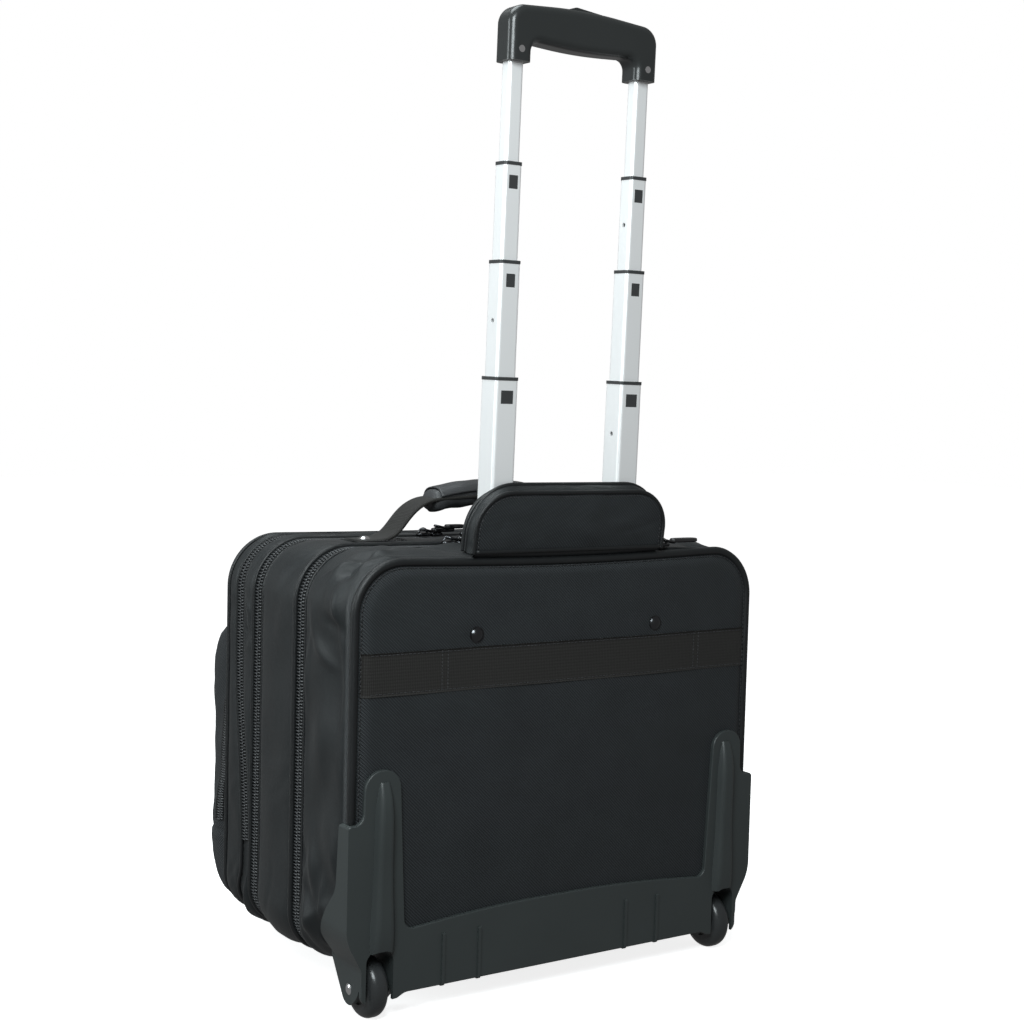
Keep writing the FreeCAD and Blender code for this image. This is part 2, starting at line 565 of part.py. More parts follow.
def wheels():
    centre = V(WHEEL_X, WHEEL_Y, WHEEL_R)
    pin = rod(centre, AXLE_R, CHEEK_OUT - CHEEK_IN, X_AXIS)
    head = Part.makeSphere(8.0, centre + V(CHEEK_OUT - WHEEL_X - 6.0, 0, 0))
    head = head.common(rod(centre + V(CHEEK_OUT - WHEEL_X + 1.5, 0, 0), 5.0, 3.0, X_AXIS))
    write("wheel_axles", *both_sides(pin.fuse(head).removeSplitter()))
    half_w, tread = WHEEL_W / 2, WHEEL_R
    tyre = [(-half_w + 1, HUB_R, 0), (-half_w + 1, TYRE_SHOULDER_R, 4), (-7.5, tread, 8.0),
            (7.5, tread, 8.0), (half_w - 1, TYRE_SHOULDER_R, 4), (half_w - 1, HUB_R, 0)]
    hub = [(-half_w, AXLE_R + AXLE_FIT, 0), (-half_w, 7, 0), (-8, 9, 2), (-8, HUB_R, 0),
           (8, HUB_R, 0), (8, 9, 2), (half_w, 7, 0), (half_w, AXLE_R + AXLE_FIT, 0)]
    for name, corners in (("tyre", tyre), ("hub", hub)):
        face = Part.Face(outline("xz", [(x, r, fillet) for x, r, fillet in corners]))
        turned = face.revolve(V(0, 0, 0), X_AXIS, 360)
        left, right = both_sides(turned.translated(centre))
        write("wheel_%s_left" % name, left)
        write("wheel_%s_right" % name, right)


def front_feet():
    """Two blocks that widen upwards, under the laptop section."""
    def level(grow, z):
        x, back, front = FOOT_HALF_X + grow, FOOT_BACK + grow, -FOOT_FRONT - grow
        return outline("xy", [(x, front, 4), (x, back, 4), (-x, back, 4), (-x, front, 4)], z)

    foot = Part.makeLoft([level(0, 0.0), level(5, FOOT_H)], True, True)
    write("front_feet", *both_sides(foot.translated(V(FOOT_X, FOOT_Y, 0))))


# ---- laptop, organizer and front sections ----------------------------------

def laptop_section():
    low, high = Y_ZIP_2 + ZIP_W / 2, Y_ZIP_1 - ZIP_W / 2
    write("laptop_gusset", drop_ring(0, FABRIC, low, high))
    write("laptop_divider", drop_slab(FABRIC, high - DIVIDER, high))
    back, front, wall = high - DIVIDER, high - SLEEVE_DEEP, SLEEVE_WALL
    inner_half = SLEEVE_HALF_W - 1.5 * wall
    sleeve = box((-SLEEVE_HALF_W, SLEEVE_HALF_W), (front, back), (DROP_BOTTOM + 12, SLEEVE_TOP))
    slot = box((-inner_half, inner_half), (front + wall, back - wall), (DROP_BOTTOM + 18, SLEEVE_TOP + 10))
    write("laptop_sleeve", sleeve.cut(slot))
    write("zip_2_coil", zip_coil(Y_ZIP_2, DROP_BOTTOM + 20, ZIP_END_X))
    patches = []
    for side in (-1, 1):
        middle = side * PATCH_X
        patch = box((middle - PATCH_HALF, middle + PATCH_HALF), (CARRY_Y - STRAP_HALF, CARRY_Y + STRAP_HALF),
                    (CASE_TOP, CASE_TOP + PATCH_H))
        stud = Part.makeSphere(7.0, V(side * STUD_X, CARRY_Y, CASE_TOP - 2.0))
        stud = stud.common(rod(V(side * STUD_X, CARRY_Y, CASE_TOP + 4), 5.0, 4.0, Z_AXIS))
        patches.append(patch.fuse(stud).removeSplitter())
    write("carry_anchors", *patches)


def carry_handle():
    """A webbing arch with a padded wrap round its middle."""
    low, top = CASE_TOP + PATCH_H + CLEAR, CARRY_RISE

    def side_view(x, foot, knee, crown):
        return [(x, foot, 0), (knee, crown - 9, 28), (0, crown, 300)]

    over = side_view(CARRY_X + STRAP_THICK / 2, low, 72, top)
    under = side_view(CARRY_X - STRAP_THICK / 2, low, 69, top - STRAP_THICK)
    arch = over + [(-x, z, r) for x, z, r in over[1::-1]]
    arch += [(-x, z, r) for x, z, r in under] + under[1::-1]
    strap = slab("xz", arch, CARRY_Y - STRAP_HALF, CARRY_Y + STRAP_HALF)
    ends = [(CARRY_Y + side * STRAP_HALF, z, r) for side, z, r in
            ((-1, 500, 0), (-1, low, STRAP_HALF - 0.1), (1, low, STRAP_HALF - 0.1), (1, 500, 0))]
    strap = strap.common(slab("yz", ends, -150, 150))
    wrap = [(CARRY_GRIP_X, top - 20, 6), (CARRY_GRIP_X - 3, top + 4, 8), (0, top + 13, 400)]
    wrap += [(-x, z, r) for x, z, r in wrap[1::-1]] + [(0, top - 12, 400)]
    grip = slab("xz", wrap, CARRY_Y - CARRY_GRIP_HALF_D, CARRY_Y + CARRY_GRIP_HALF_D)
    long_edges = [edge for edge in grip.Edges
                  if abs(abs(edge.CenterOfMass.y - CARRY_Y) - CARRY_GRIP_HALF_D) < 0.01]
    grip = grip.makeFillet(5.0, long_edges)
    write("carry_strap", strap.cut(grip))
    write("carry_grip", grip)


def organizer_section():
    low, high = Y_ZIP_3 + ZIP_W / 2, Y_ZIP_2 - ZIP_W / 2
    write("organizer_gusset", drop_ring(0, FABRIC, low, high))
    write("organizer_divider", drop_slab(FABRIC, high - ORGANIZER_WALL, high))
    half = ORGANIZER_POCKET_HALF_W
    pockets = box((-half, half), (high - ORGANIZER_POCKET_DEEP, high - ORGANIZER_WALL),
                  (DROP_BOTTOM + 14, ORGANIZER_POCKET_TOP))
    write("organizer_pockets", pockets)
    write("zip_3_coil", zip_coil(Y_ZIP_3, ZIP_3_END_Z, HALF + 1))


def front_section():
    face = Y_ZIP_3 - ZIP_W / 2
    back = face - FLAP_DEPTH
    rim = drop_ring(1.0, FABRIC, back + FLAP_SKIN, face)
    write("front_flap", drop_slab(1.0, back, back + FLAP_SKIN).fuse(rim).removeSplitter())
    profile = [(back, POCKET_LOW + 12, 0), (back, POCKET_TOP, 0), (back - 12, POCKET_TOP, 6),
               (Y_FRONT + 12, POCKET_TOP - 39, 40), (Y_FRONT, 235, 60), (Y_FRONT, 110, 40),
               (Y_FRONT + 10, POCKET_LOW + 12, 18), (Y_FRONT + 36, POCKET_LOW, 18)]
    bulge = slab("yz", profile, -POCKET_HALF, POCKET_HALF)
    plan = [(POCKET_HALF, back + 1, 0), (POCKET_HALF, Y_FRONT - 1, POCKET_CORNER),
            (-POCKET_HALF, Y_FRONT - 1, POCKET_CORNER), (-POCKET_HALF, back + 1, 0)]
    bulge = bulge.common(slab("xy", plan, 0, 400))
    write("front_pocket", bulge)


# ---- zip sliders and pulls -------------------------------------------------

def zip_puller(name, x, y, reach):
    """A slider astride its coil, and the pull that lies along -x from its bail."""
    z, half_w = CASE_TOP, PULL_HALF_W
    pivot = z + PULL_PIVOT
    slider = box((x - 6, x + 6), (y - half_w, y + half_w), (z + CLEAR, z + 3.4))
    slider = slider.makeFillet(1.0, slider.Edges)
    bail = box((x - 3.2, x + 3.2), (y - 1.5, y + 1.5), (z + 3.0, z + 8.0))
    gap = rod(V(x, y, pivot), 1.0, 8, Y_AXIS)
    write(name + "_slider", slider.fuse(bail).cut(gap).removeSplitter())
    tab = box((x - reach, x + 1.2), (y - half_w, y + half_w), (pivot - PULL_HALF_H, pivot + PULL_HALF_H))
    eye = box((x - 5.0, x + 5.0), (y - 2.2, y + 2.2), (pivot - 3, pivot + 3))
    hinge = rod(V(x, y, pivot), 0.94, 8, Y_AXIS)
    write(name + "_pull", tab.cut(eye).fuse(hinge).removeSplitter())


def main():
    os.makedirs("parts", exist_ok=True)
    rear_section()
    panel_rivets()
    handle_stages()
    tube_mounting()
    grip_parts()
    hood()
    base_moulding()
    wheels()
    front_feet()
    laptop_section()
    carry_handle()
    organizer_section()
    front_section()
    for name, x, y, reach in PULLERS:
        zip_puller(name, x, y, reach)


main()
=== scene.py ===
import math

import bpy
import numpy as np
from mathutils import Matrix, Vector, noise
from mathutils.bvhtree import BVHTree


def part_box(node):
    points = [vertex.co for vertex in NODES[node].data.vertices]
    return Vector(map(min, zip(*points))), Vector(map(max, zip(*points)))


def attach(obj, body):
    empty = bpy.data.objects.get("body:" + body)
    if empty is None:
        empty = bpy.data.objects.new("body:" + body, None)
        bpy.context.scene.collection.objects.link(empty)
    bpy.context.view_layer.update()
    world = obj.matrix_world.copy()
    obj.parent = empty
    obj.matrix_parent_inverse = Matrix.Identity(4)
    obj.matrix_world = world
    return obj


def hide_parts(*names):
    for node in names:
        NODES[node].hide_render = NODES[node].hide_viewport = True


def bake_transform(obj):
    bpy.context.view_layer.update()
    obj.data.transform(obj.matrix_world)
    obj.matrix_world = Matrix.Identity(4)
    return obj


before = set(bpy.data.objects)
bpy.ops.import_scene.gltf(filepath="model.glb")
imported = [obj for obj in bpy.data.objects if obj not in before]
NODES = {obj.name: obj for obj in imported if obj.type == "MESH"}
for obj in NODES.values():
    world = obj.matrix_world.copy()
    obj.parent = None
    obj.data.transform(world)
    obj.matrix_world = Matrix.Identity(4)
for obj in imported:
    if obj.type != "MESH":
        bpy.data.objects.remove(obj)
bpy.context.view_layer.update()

# The looks of a rolling laptop case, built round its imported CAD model.
# Shapes are worked out in millimetres in the case's own frame, where y = 0 is the back
# panel's seam, and place() turns them into the model's frame in metres.

PIPE_LOW, PIPE_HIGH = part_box("back_piping")
SEAM_Y = (PIPE_LOW.y + PIPE_HIGH.y) / 2


def box_of(node):
    """A CAD node's lowest and highest corners in the case's frame, in millimetres."""
    return [(corner - Vector((0, SEAM_Y, 0))) * 1000 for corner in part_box(node)]


def node_y(node):
    """A CAD node's lowest and highest y, in the case's frame in millimetres."""
    return [(corner.y - SEAM_Y) * 1000 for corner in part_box(node)]


SIDES = ((1, "left"), (-1, "right"))
HALF_W = PIPE_HIGH.x * 1000
CASE_LOW, CASE_HIGH = PIPE_LOW.z * 1000, PIPE_HIGH.z * 1000
DROP_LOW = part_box("laptop_gusset")[0].z * 1000
DROP_Y = (-47, -80)                # the case's bottom drops to DROP_LOW between these
CORNER_R, DROP_CORNER_R = 50.0, 38.0
PIPING_R = (PIPE_HIGH.y - PIPE_LOW.y) * 500
WELL_X, WELL_Y, WELL_TOP = 172.5, -48.5, 74.0    # the wheel housings, with a little air
GUSSETS = {name: node_y(name) for name in
           ("rear_gusset", "laptop_gusset", "organizer_gusset", "front_flap")}
ZIP_Y = [sum(node_y("zip_%d_coil" % k)) / 2 for k in (1, 2, 3)]
ZIP_3_SWING, ZIP_3_BEND, ZIP_3_END = 18.0, (300, 112), 122    # how far back, and between which heights
FLAP_FRONT = node_y("front_flap")[0]
MOUTH = box_of("tube_bezel")
CARRY_Y = sum(node_y("carry_strap")) / 2
BAND_LOW, BAND_HIGH = (v.z * 1000 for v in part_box("back_band"))
RIVETS, RIVET_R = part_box("panel_rivets"), 7.5
RIVET_X, RIVET_Z = RIVETS[1].x * 1000 - RIVET_R, (RIVETS[0].z + RIVETS[1].z) * 500
TAPE_HALF = 7.0                    # from a zip's middle to the fabric on each side
UNDER_TAPE = 1.4                   # how far the fabric runs on under the tape
SKIN = 3.2                         # padded fabric's thickness
FLAP_SKIN = 3.5                    # the front flap's plate


# ---- mesh helpers ------------------------------------------------------------

def place(points):
    """Case-frame millimetres to the model's frame in metres."""
    return np.asarray(points, float).reshape(-1, 3) / 1000.0 + np.array([0.0, SEAM_Y, 0.0])


def from_model(points):
    """The model's frame in metres to case-frame millimetres."""
    return (points - np.array([0.0, SEAM_Y, 0.0])) * 1000.0


def xyz(x, y, z):
    """Points from three arrays or numbers that broadcast together."""
    return np.stack(np.broadcast_arrays(x, y, z), -1)


def smooth(low, high, value):
    """0 at low and 1 at high, with a soft start and end. low may be the larger."""
    t = np.clip((np.asarray(value, float) - low) / (high - low), 0.0, 1.0)
    return t * t * (3 - 2 * t)


def new_object(name, points, faces, uv=None):
    """A smooth-shaded mesh object from case-frame points, with its UVs in face order."""
    mesh = bpy.data.meshes.new(name)
    mesh.from_pydata(place(points).tolist(), [], faces if isinstance(faces, list) else faces.tolist())
    if uv is not None:
        layer = mesh.uv_layers.new(name="uv")
        layer.data.foreach_set("uv", np.asarray(uv, float).ravel())
    mesh.polygons.foreach_set("use_smooth", [True] * len(mesh.polygons))
    mesh.validate()
    mesh.update()
    obj = bpy.data.objects.new(name, mesh)
    bpy.context.scene.collection.objects.link(obj)
    return obj


def run_length(line, closed):
    """Distance along a line of points, with one more entry where it closes."""
    steps = np.linalg.norm(np.diff(line, axis=0), axis=1)
    if closed:
        steps = np.append(steps, np.linalg.norm(line[0] - line[-1]))
    return np.concatenate([[0.0], np.cumsum(steps)])


def grid_object(name, points, wrap_u=False, wrap_v=False, flip=False, hole=None):
    """A surface over an (n, m, 3) grid. Its UVs are lengths along the surface, in metres.
    hole says, for the middles of its faces, which ones are left out."""
    n, m = points.shape[:2]
    i = np.arange(n if wrap_u else n - 1)
    j = np.arange(m if wrap_v else m - 1)
    a, b = np.meshgrid(i, j, indexing="ij")
    corners = [(a, b), (a + 1, b), (a + 1, b + 1), (a, b + 1)]
    if flip:
        corners.reverse()
    faces = np.stack([(p % n) * m + q % m for p, q in corners], -1).reshape(-1, 4)
    along_u = run_length(points[:, m // 2], wrap_u) / 1000.0
    along_v = run_length(points[n // 3], wrap_v) / 1000.0
    loops = np.stack([np.stack([along_u[p], along_v[q]], -1) for p, q in corners], -2).reshape(-1, 4, 2)
    if hole is not None:
        kept = ~hole(points.reshape(-1, 3)[faces].mean(1))
        faces, loops = faces[kept], loops[kept]
    return new_object(name, points.reshape(-1, 3), faces, loops.reshape(-1, 2))


def frames_along(path, closed, guide):
    """For each point of a path: its tangent, guide made square to it, and their cross product."""
    tangent = np.roll(path, -1, 0) - np.roll(path, 1, 0) if closed else np.gradient(path, axis=0)
    tangent /= np.linalg.norm(tangent, axis=1)[:, None]
    guide = guide - tangent * np.sum(guide * tangent, 1)[:, None]
    guide /= np.linalg.norm(guide, axis=1)[:, None]
    return tangent, guide, np.cross(tangent, guide)


def sweep(name, path, guide, section, closed=False):
    """A closed section of (along guide, along cross) pairs carried along a path."""
    _, up, side = frames_along(path, closed, guide)
    points = path[:, None] + up[:, None] * section[None, :, :1] + side[:, None] * section[None, :, 1:]
    if not closed:
        ends = [np.broadcast_to(points[k].mean(0), points[:1].shape) for k in (0, -1)]
        points = np.concatenate([ends[0], points, ends[1]])
    return grid_object(name, points, wrap_u=closed, wrap_v=True)


def round_section(radius, count=10):
    turn = np.linspace(0, 2 * math.pi, count, endpoint=False)
    return np.stack([radius * np.cos(turn), radius * np.sin(turn)], 1)


def strap_section(width, thick, count=6):
    """A flat strap with rounded edges: width runs along the sweep's cross direction."""
    turn = np.linspace(-math.pi / 2, math.pi / 2, count)
    right = np.stack([thick / 2 * np.sin(turn), width / 2 - thick / 2 + thick / 2 * np.cos(turn)], 1)
    steps = np.linspace(1, -1, 7)[1:-1, None]
    top = np.concatenate([np.full((5, 1), thick / 2), steps * (width / 2 - thick / 2)], 1)
    return np.concatenate([right, top, -right, -top])


def scatter(name, base, faces, centres, axes):
    """Copies of a small mesh at each centre, turned to that place's three axes."""
    base = np.asarray(base, float)
    points = centres[:, None]
    for k, axis in enumerate(axes):
        points = points + base[None, :, k:k + 1] * axis[:, None]
    all_faces = [[k * len(base) + v for v in face] for k in range(len(centres)) for face in faces]
    return new_object(name, points, all_faces)


def capsule(length, radius, flat=1.0, sides=6):
    """A short rounded bar along its first axis, as points and faces."""
    end, blunt = length / 2, radius * 0.6
    turns = [2 * math.pi * s / sides for s in range(sides)]
    rings = [(-end, 0.45), (blunt - end, 1.0), (end - blunt, 1.0), (end, 0.45)]
    points = [(x, radius * k * flat * math.cos(t), radius * k * math.sin(t)) for x, k in rings for t in turns]
    faces = []
    for ring in range(0, len(points) - sides, sides):
        for s in range(sides):
            after = (s + 1) % sides
            faces.append([ring + s, ring + after, ring + sides + after, ring + sides + s])
    return points, faces + [list(range(sides))[::-1], list(range(len(points) - sides, len(points)))]


def resample(path, pitch, closed=False, start=0.0):
    """Points at even distances along a path. Columns after the third are carried with them."""
    at = run_length(path[:, :3], closed)
    whole = np.concatenate([path, path[:1]]) if closed else path
    want = np.arange(start, at[-1], pitch)
    return np.stack([np.interp(want, at, column) for column in whole.T], 1)


def evenly(points, count):
    """A number of points at even distances along a line through a few given ones."""
    line = np.asarray(points, float)
    at = run_length(line, False)
    want = np.linspace(0, at[-1], count)
    return np.stack([np.interp(want, at, column) for column in line.T], 1)


def smooth_line(points, count, rounds):
    """The same, with its corners rounded off."""
    line = evenly(points, count)
    for _ in range(rounds):
        line[1:-1] = (line[:-2] + 2 * line[1:-1] + line[2:]) / 4
    return line


def mirrored(half):
    """A line that ends at x = 0, and its mirror image after it."""
    return half + [(-x, y, z) for x, y, z in half[-2::-1]]


# ---- materials ---------------------------------------------------------------

MATERIALS = {}                     # by the names that this script gives them


class Shader:
    """A Principled material with a few helpers that keep the node code short."""

    def __init__(self, name, colour, roughness, **sockets):
        MATERIALS[name] = bpy.data.materials.new(name)
        MATERIALS[name].use_nodes = True
        self.tree = MATERIALS[name].node_tree
        self.bsdf = self.tree.nodes["Principled BSDF"]
        self.bsdf.inputs["Base Color"].default_value = (*colour, 1)
        self.bsdf.inputs["Roughness"].default_value = roughness
        for key, value in sockets.items():
            self.bsdf.inputs[key.replace("_", " ")].default_value = value
        self.colour = colour
        self.height = None

    def node(self, kind, **settings):
        node = self.tree.nodes.new(kind)
        for key, value in settings.items():
            setattr(node, key, value)
        return node

    def link(self, source, target):
        self.tree.links.new(source, target)

    def where(self, space, scale=(1, 1, 1), turn=0.0):
        """Texture coordinates in metres: "UV" runs along a made surface, "Object" is the model's frame."""
        mapping = self.node("ShaderNodeMapping")
        mapping.inputs["Scale"].default_value = scale
        mapping.inputs["Rotation"].default_value = (0, 0, turn)
        self.link(self.node("ShaderNodeTexCoord").outputs[space], mapping.inputs["Vector"])
        return mapping.outputs["Vector"]

    def calc(self, operation, a, b=0.0):
        """One sum on two values, each a number or a socket."""
        node = self.node("ShaderNodeMath", operation=operation)
        for socket, value in zip(node.inputs, (a, b)):
            if isinstance(value, (int, float)):
                socket.default_value = value
            else:
                self.link(value, socket)
        return node.outputs[0]

    def ridge(self, vector, axis, pitch):
        """A wave from 0 to 1 along one axis, with its crests a pitch apart in metres."""
        split = self.node("ShaderNodeSeparateXYZ")
        self.link(vector, split.inputs[0])
        turn = self.calc("MULTIPLY", split.outputs[axis], 2 * math.pi / pitch)
        wave = self.calc("MULTIPLY", self.calc("SINE", turn), 0.5)
        return self.calc("ADD", wave, 0.5)

    def noise(self, vector, scale, detail=3.0):
        node = self.node("ShaderNodeTexNoise")
        node.inputs["Scale"].default_value = scale
        node.inputs["Detail"].default_value = detail
        node.inputs["Roughness"].default_value = 0.55
        self.link(vector, node.inputs["Vector"])
        return node.outputs["Fac"]

    def tint(self, factor, dark, light):
        """Base colour from dark to light by a 0 to 1 factor; both are shares of the colour."""
        mix = self.node("ShaderNodeMix", data_type="RGBA")
        mix.inputs["A"].default_value = (*[c * dark for c in self.colour], 1)
        mix.inputs["B"].default_value = (*[c * light for c in self.colour], 1)
        self.link(factor, mix.inputs["Factor"])
        self.link(mix.outputs["Result"], self.bsdf.inputs["Base Color"])

    def roughness(self, factor, low, high):
        spread = self.node("ShaderNodeMapRange")
        spread.inputs["To Min"].default_value = low
        spread.inputs["To Max"].default_value = high
        self.link(factor, spread.inputs["Value"])
        self.link(spread.outputs["Result"], self.bsdf.inputs["Roughness"])

    def bump(self, height, distance, strength=1.0):
        """Adds one layer of bump; later layers ride on earlier ones."""
        bump = self.node("ShaderNodeBump")
        bump.inputs["Distance"].default_value = distance
        bump.inputs["Strength"].default_value = strength
        self.link(height, bump.inputs["Height"])
        if self.height:
            self.link(self.height, bump.inputs["Normal"])
        self.height = bump.outputs["Normal"]
        self.link(self.height, self.bsdf.inputs["Normal"])


def woven(name, colour, pitch, turn, contrast, roughness=0.66):
    """Nylon with a visible weave: raised ribs one way, finer threads across them."""
    shader = Shader(name, colour, roughness, Sheen_Weight=0.03, Sheen_Roughness=0.45, Specular_IOR_Level=0.3)
    vector, even = shader.where("UV", turn=turn), shader.where("UV")
    ribs = shader.ridge(vector, 0, pitch)
    threads = shader.ridge(vector, 1, pitch * 0.62)
    cloud = shader.noise(even, 26.0)
    cloth = shader.calc("ADD", shader.calc("MULTIPLY", ribs, 0.62), shader.calc("MULTIPLY", threads, 0.22))
    mixed = shader.calc("ADD", cloth, shader.calc("MULTIPLY", cloud, 0.32))
    shader.tint(mixed, 1 - contrast, 1 + contrast)
    shader.roughness(cloud, roughness - 0.1, roughness + 0.06)
    shader.bump(shader.noise(even, 9.0), 0.0016, 0.35)
    shader.bump(cloth, 0.0006, 1.0)


def satin(name, colour, roughness=0.46, space="UV"):
    """Smooth coated nylon, with a very fine weave and soft creases."""
    shader = Shader(name, colour, roughness, Sheen_Weight=0.03, Sheen_Roughness=0.4,
                    Specular_IOR_Level=0.36)
    vector = shader.where(space)
    fine = shader.calc("MULTIPLY", shader.ridge(vector, 0, 0.0009), shader.ridge(vector, 1, 0.0009))
    cloud = shader.noise(vector, 30.0, 4.0)
    shader.tint(cloud, 0.82, 1.2)
    shader.roughness(cloud, roughness - 0.07, roughness + 0.1)
    shader.bump(shader.noise(shader.where(space, (1, 1.6, 1)), 28.0, 2.0), 0.0012, 0.4)
    shader.bump(fine, 0.00012, 0.7)


def ribbed(name, colour, pitch=0.0018, axis=0):
    """Heavy webbing: cords side by side."""
    shader = Shader(name, colour, 0.74, Sheen_Weight=0.04, Sheen_Roughness=0.5, Specular_IOR_Level=0.25)
    vector = shader.where("UV")
    cords = shader.ridge(vector, axis, pitch)
    across = shader.ridge(vector, 1 - axis, pitch * 1.6)
    cloth = shader.calc("ADD", shader.calc("MULTIPLY", cords, 0.65), shader.calc("MULTIPLY", across, 0.3))
    shader.tint(cloth, 0.7, 1.35)
    shader.bump(cloth, 0.0004)


def moulded(name, colour, roughness, grain=900.0, coat=0.0):
    """Satin moulded plastic: fine spark-eroded grain and a slow change of gloss."""
    shader = Shader(name, colour, roughness, Coat_Weight=coat, Coat_Roughness=0.25, Specular_IOR_Level=0.4)
    vector = shader.where("Object")
    cloud = shader.noise(vector, 14.0, 4.0)
    shader.tint(cloud, 0.9, 1.12)
    shader.roughness(cloud, roughness - 0.06, roughness + 0.07)
    shader.bump(shader.noise(vector, grain, 2.0), 0.00009, 0.8)


def anodised(name, colour):
    """Satin aluminium, drawn along the tube."""
    shader = Shader(name, colour, 0.34, Metallic=0.4)
    drawn = shader.noise(shader.where("Object", (1, 1, 0.02)), 1500.0, 2.0)
    cloud = shader.noise(shader.where("Object"), 12.0)
    shader.tint(cloud, 0.96, 1.03)
    shader.roughness(drawn, 0.3, 0.46)
    shader.bump(drawn, 0.00002, 0.6)


def metal(name, colour, roughness):
    """Bare metal with a faintly uneven gloss."""
    shader = Shader(name, colour, roughness, Metallic=1.0)
    cloud = shader.noise(shader.where("Object"), 220.0)
    shader.roughness(cloud, roughness * 0.8, roughness * 1.3)


def grained(name, colour):
    """Synthetic leather with a fine pebble grain."""
    shader = Shader(name, colour, 0.5, Coat_Weight=0.12, Coat_Roughness=0.4)
    cells = shader.node("ShaderNodeTexVoronoi", feature="DISTANCE_TO_EDGE")
    cells.inputs["Scale"].default_value = 620.0
    vector = shader.where("Object")
    shader.link(vector, cells.inputs["Vector"])
    cloud = shader.noise(vector, 40.0)
    shader.tint(cloud, 0.85, 1.25)
    shader.roughness(cloud, 0.42, 0.58)
    shader.bump(shader.noise(vector, 60.0), 0.0008, 0.4)
    shader.bump(cells.outputs["Distance"], 0.0005, 0.7)


woven("twill", (0.015, 0.0174, 0.0192), 0.0021, math.radians(45), 0.8)
satin("satin", (0.0085, 0.0105, 0.0114))
ribbed("webbing", (0.017, 0.016, 0.0148))
satin("piping", (0.008, 0.009, 0.0096), 0.4)
woven("lining", (0.16, 0.16, 0.17), 0.0014, 0.0, 0.12, roughness=0.8)
moulded("coil", (0.046, 0.048, 0.05), 0.2)
ribbed("tape", (0.006, 0.0065, 0.007), 0.0011, 1)
satin("thread", (0.03, 0.03, 0.032), 0.5, "Object")
moulded("moulding", (0.033, 0.039, 0.039), 0.42)
moulded("grip", (0.02, 0.022, 0.022), 0.3, grain=700.0, coat=0.2)
moulded("collar", (0.04, 0.041, 0.042), 0.35)
anodised("tube", (0.92, 0.92, 0.92))
metal("steel", (0.75, 0.75, 0.76), 0.18)
moulded("lacquer", (0.01, 0.01, 0.011), 0.12, grain=200.0, coat=0.6)
moulded("tyre", (0.028, 0.03, 0.031), 0.28, grain=300.0)
moulded("hub", (0.03, 0.03, 0.03), 0.4)
grained("leather", (0.028, 0.029, 0.031))
metal("gunmetal", (0.07, 0.072, 0.076), 0.2)


def finish_piece(obj, material, body, replaces=()):
    """Gives a piece its material, the body it rides on, and the CAD nodes it stands for."""
    obj.data.materials.append(MATERIALS[material])
    if body:
        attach(obj, body)
    if replaces:
        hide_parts(*replaces)


def repaint(material, *nodes):
    """Gives a material to CAD nodes that show as they are."""
    for node in nodes:
        obj = NODES[node]
        for slot in obj.material_slots:
            slot.material = MATERIALS[material]
        if not obj.material_slots:
            obj.data.materials.append(MATERIALS[material])


def cord(name, path, guide, radius, material, body, count=10, closed=False, replaces=()):
    """A round cord along a path: piping, binding or wire."""
    finish_piece(sweep(name, path, guide, round_section(radius, count), closed), material, body, replaces)


def sew(name, path, normal, body, length=2.9, pitch=4.1, radius=0.42, closed=False):
    """A row of thread stitches lying along a path, seen from the side its normal points to."""
    path, normal = np.broadcast_arrays(path, np.asarray(normal, float))
    stations = resample(np.concatenate([path, normal], 1), pitch, closed, start=pitch / 2)
    centres = stations[:, :3]
    axes = frames_along(centres, False, stations[:, 3:])
    finish_piece(scatter(name, *capsule(length, radius), centres, axes), "thread", body)


# ---- the case's outline --------------------------------------------------------

RIM_COUNT = 600


def rounded_loop(half_w, low, high, foot_r, top_r):
    """Even points and outward normals round a rounded rectangle, from its bottom's middle."""
    arcs = [(half_w, low, foot_r, -90), (half_w, high, top_r, 0), (-half_w, high, top_r, 90),
            (-half_w, low, foot_r, 180)]
    line = [np.array([[0.0, low]])]
    for side, edge, radius, begin in arcs:
        turn = np.radians(np.linspace(begin, begin + 90, 41))
        cx, cz = side - math.copysign(radius, side), edge + (radius if edge == low else -radius)
        line.append(np.stack([cx + radius * np.cos(turn), cz + radius * np.sin(turn)], 1))
    line = np.concatenate(line)
    points = resample(line, run_length(line, True)[-1] / RIM_COUNT, closed=True)[:RIM_COUNT]
    ahead = np.roll(points, -1, 0) - np.roll(points, 1, 0)
    normal = np.stack([ahead[:, 1], -ahead[:, 0]], 1)
    return points, normal / np.linalg.norm(normal, axis=1)[:, None]


BASE_RIM = rounded_loop(HALF_W, CASE_LOW, CASE_HIGH, CORNER_R, CORNER_R)
DROP_RIM = rounded_loop(HALF_W, DROP_LOW, CASE_HIGH, DROP_CORNER_R, CORNER_R)
RIM_S = run_length(DROP_RIM[0], True)[:-1]


def sag(x, z, y):
    """How far the soft top edge droops between its corners, most at the back seam."""
    near_top = smooth(CASE_HIGH - 60, CASE_HIGH, z)
    middle = np.clip(1 - (x / (HALF_W - 25)) ** 2, 0, 1) ** 1.5
    depth = 0.35 + 0.65 * np.exp(-np.abs(y) / 14.0)
    return -4.2 * near_top * middle * depth


def off_wells(x, y, z):
    """Keeps the fabric out of the two corners that the wheel housings fill."""
    return np.where((y > WELL_Y) & (np.abs(x) > WELL_X) & (z < WELL_TOP), WELL_TOP, z)


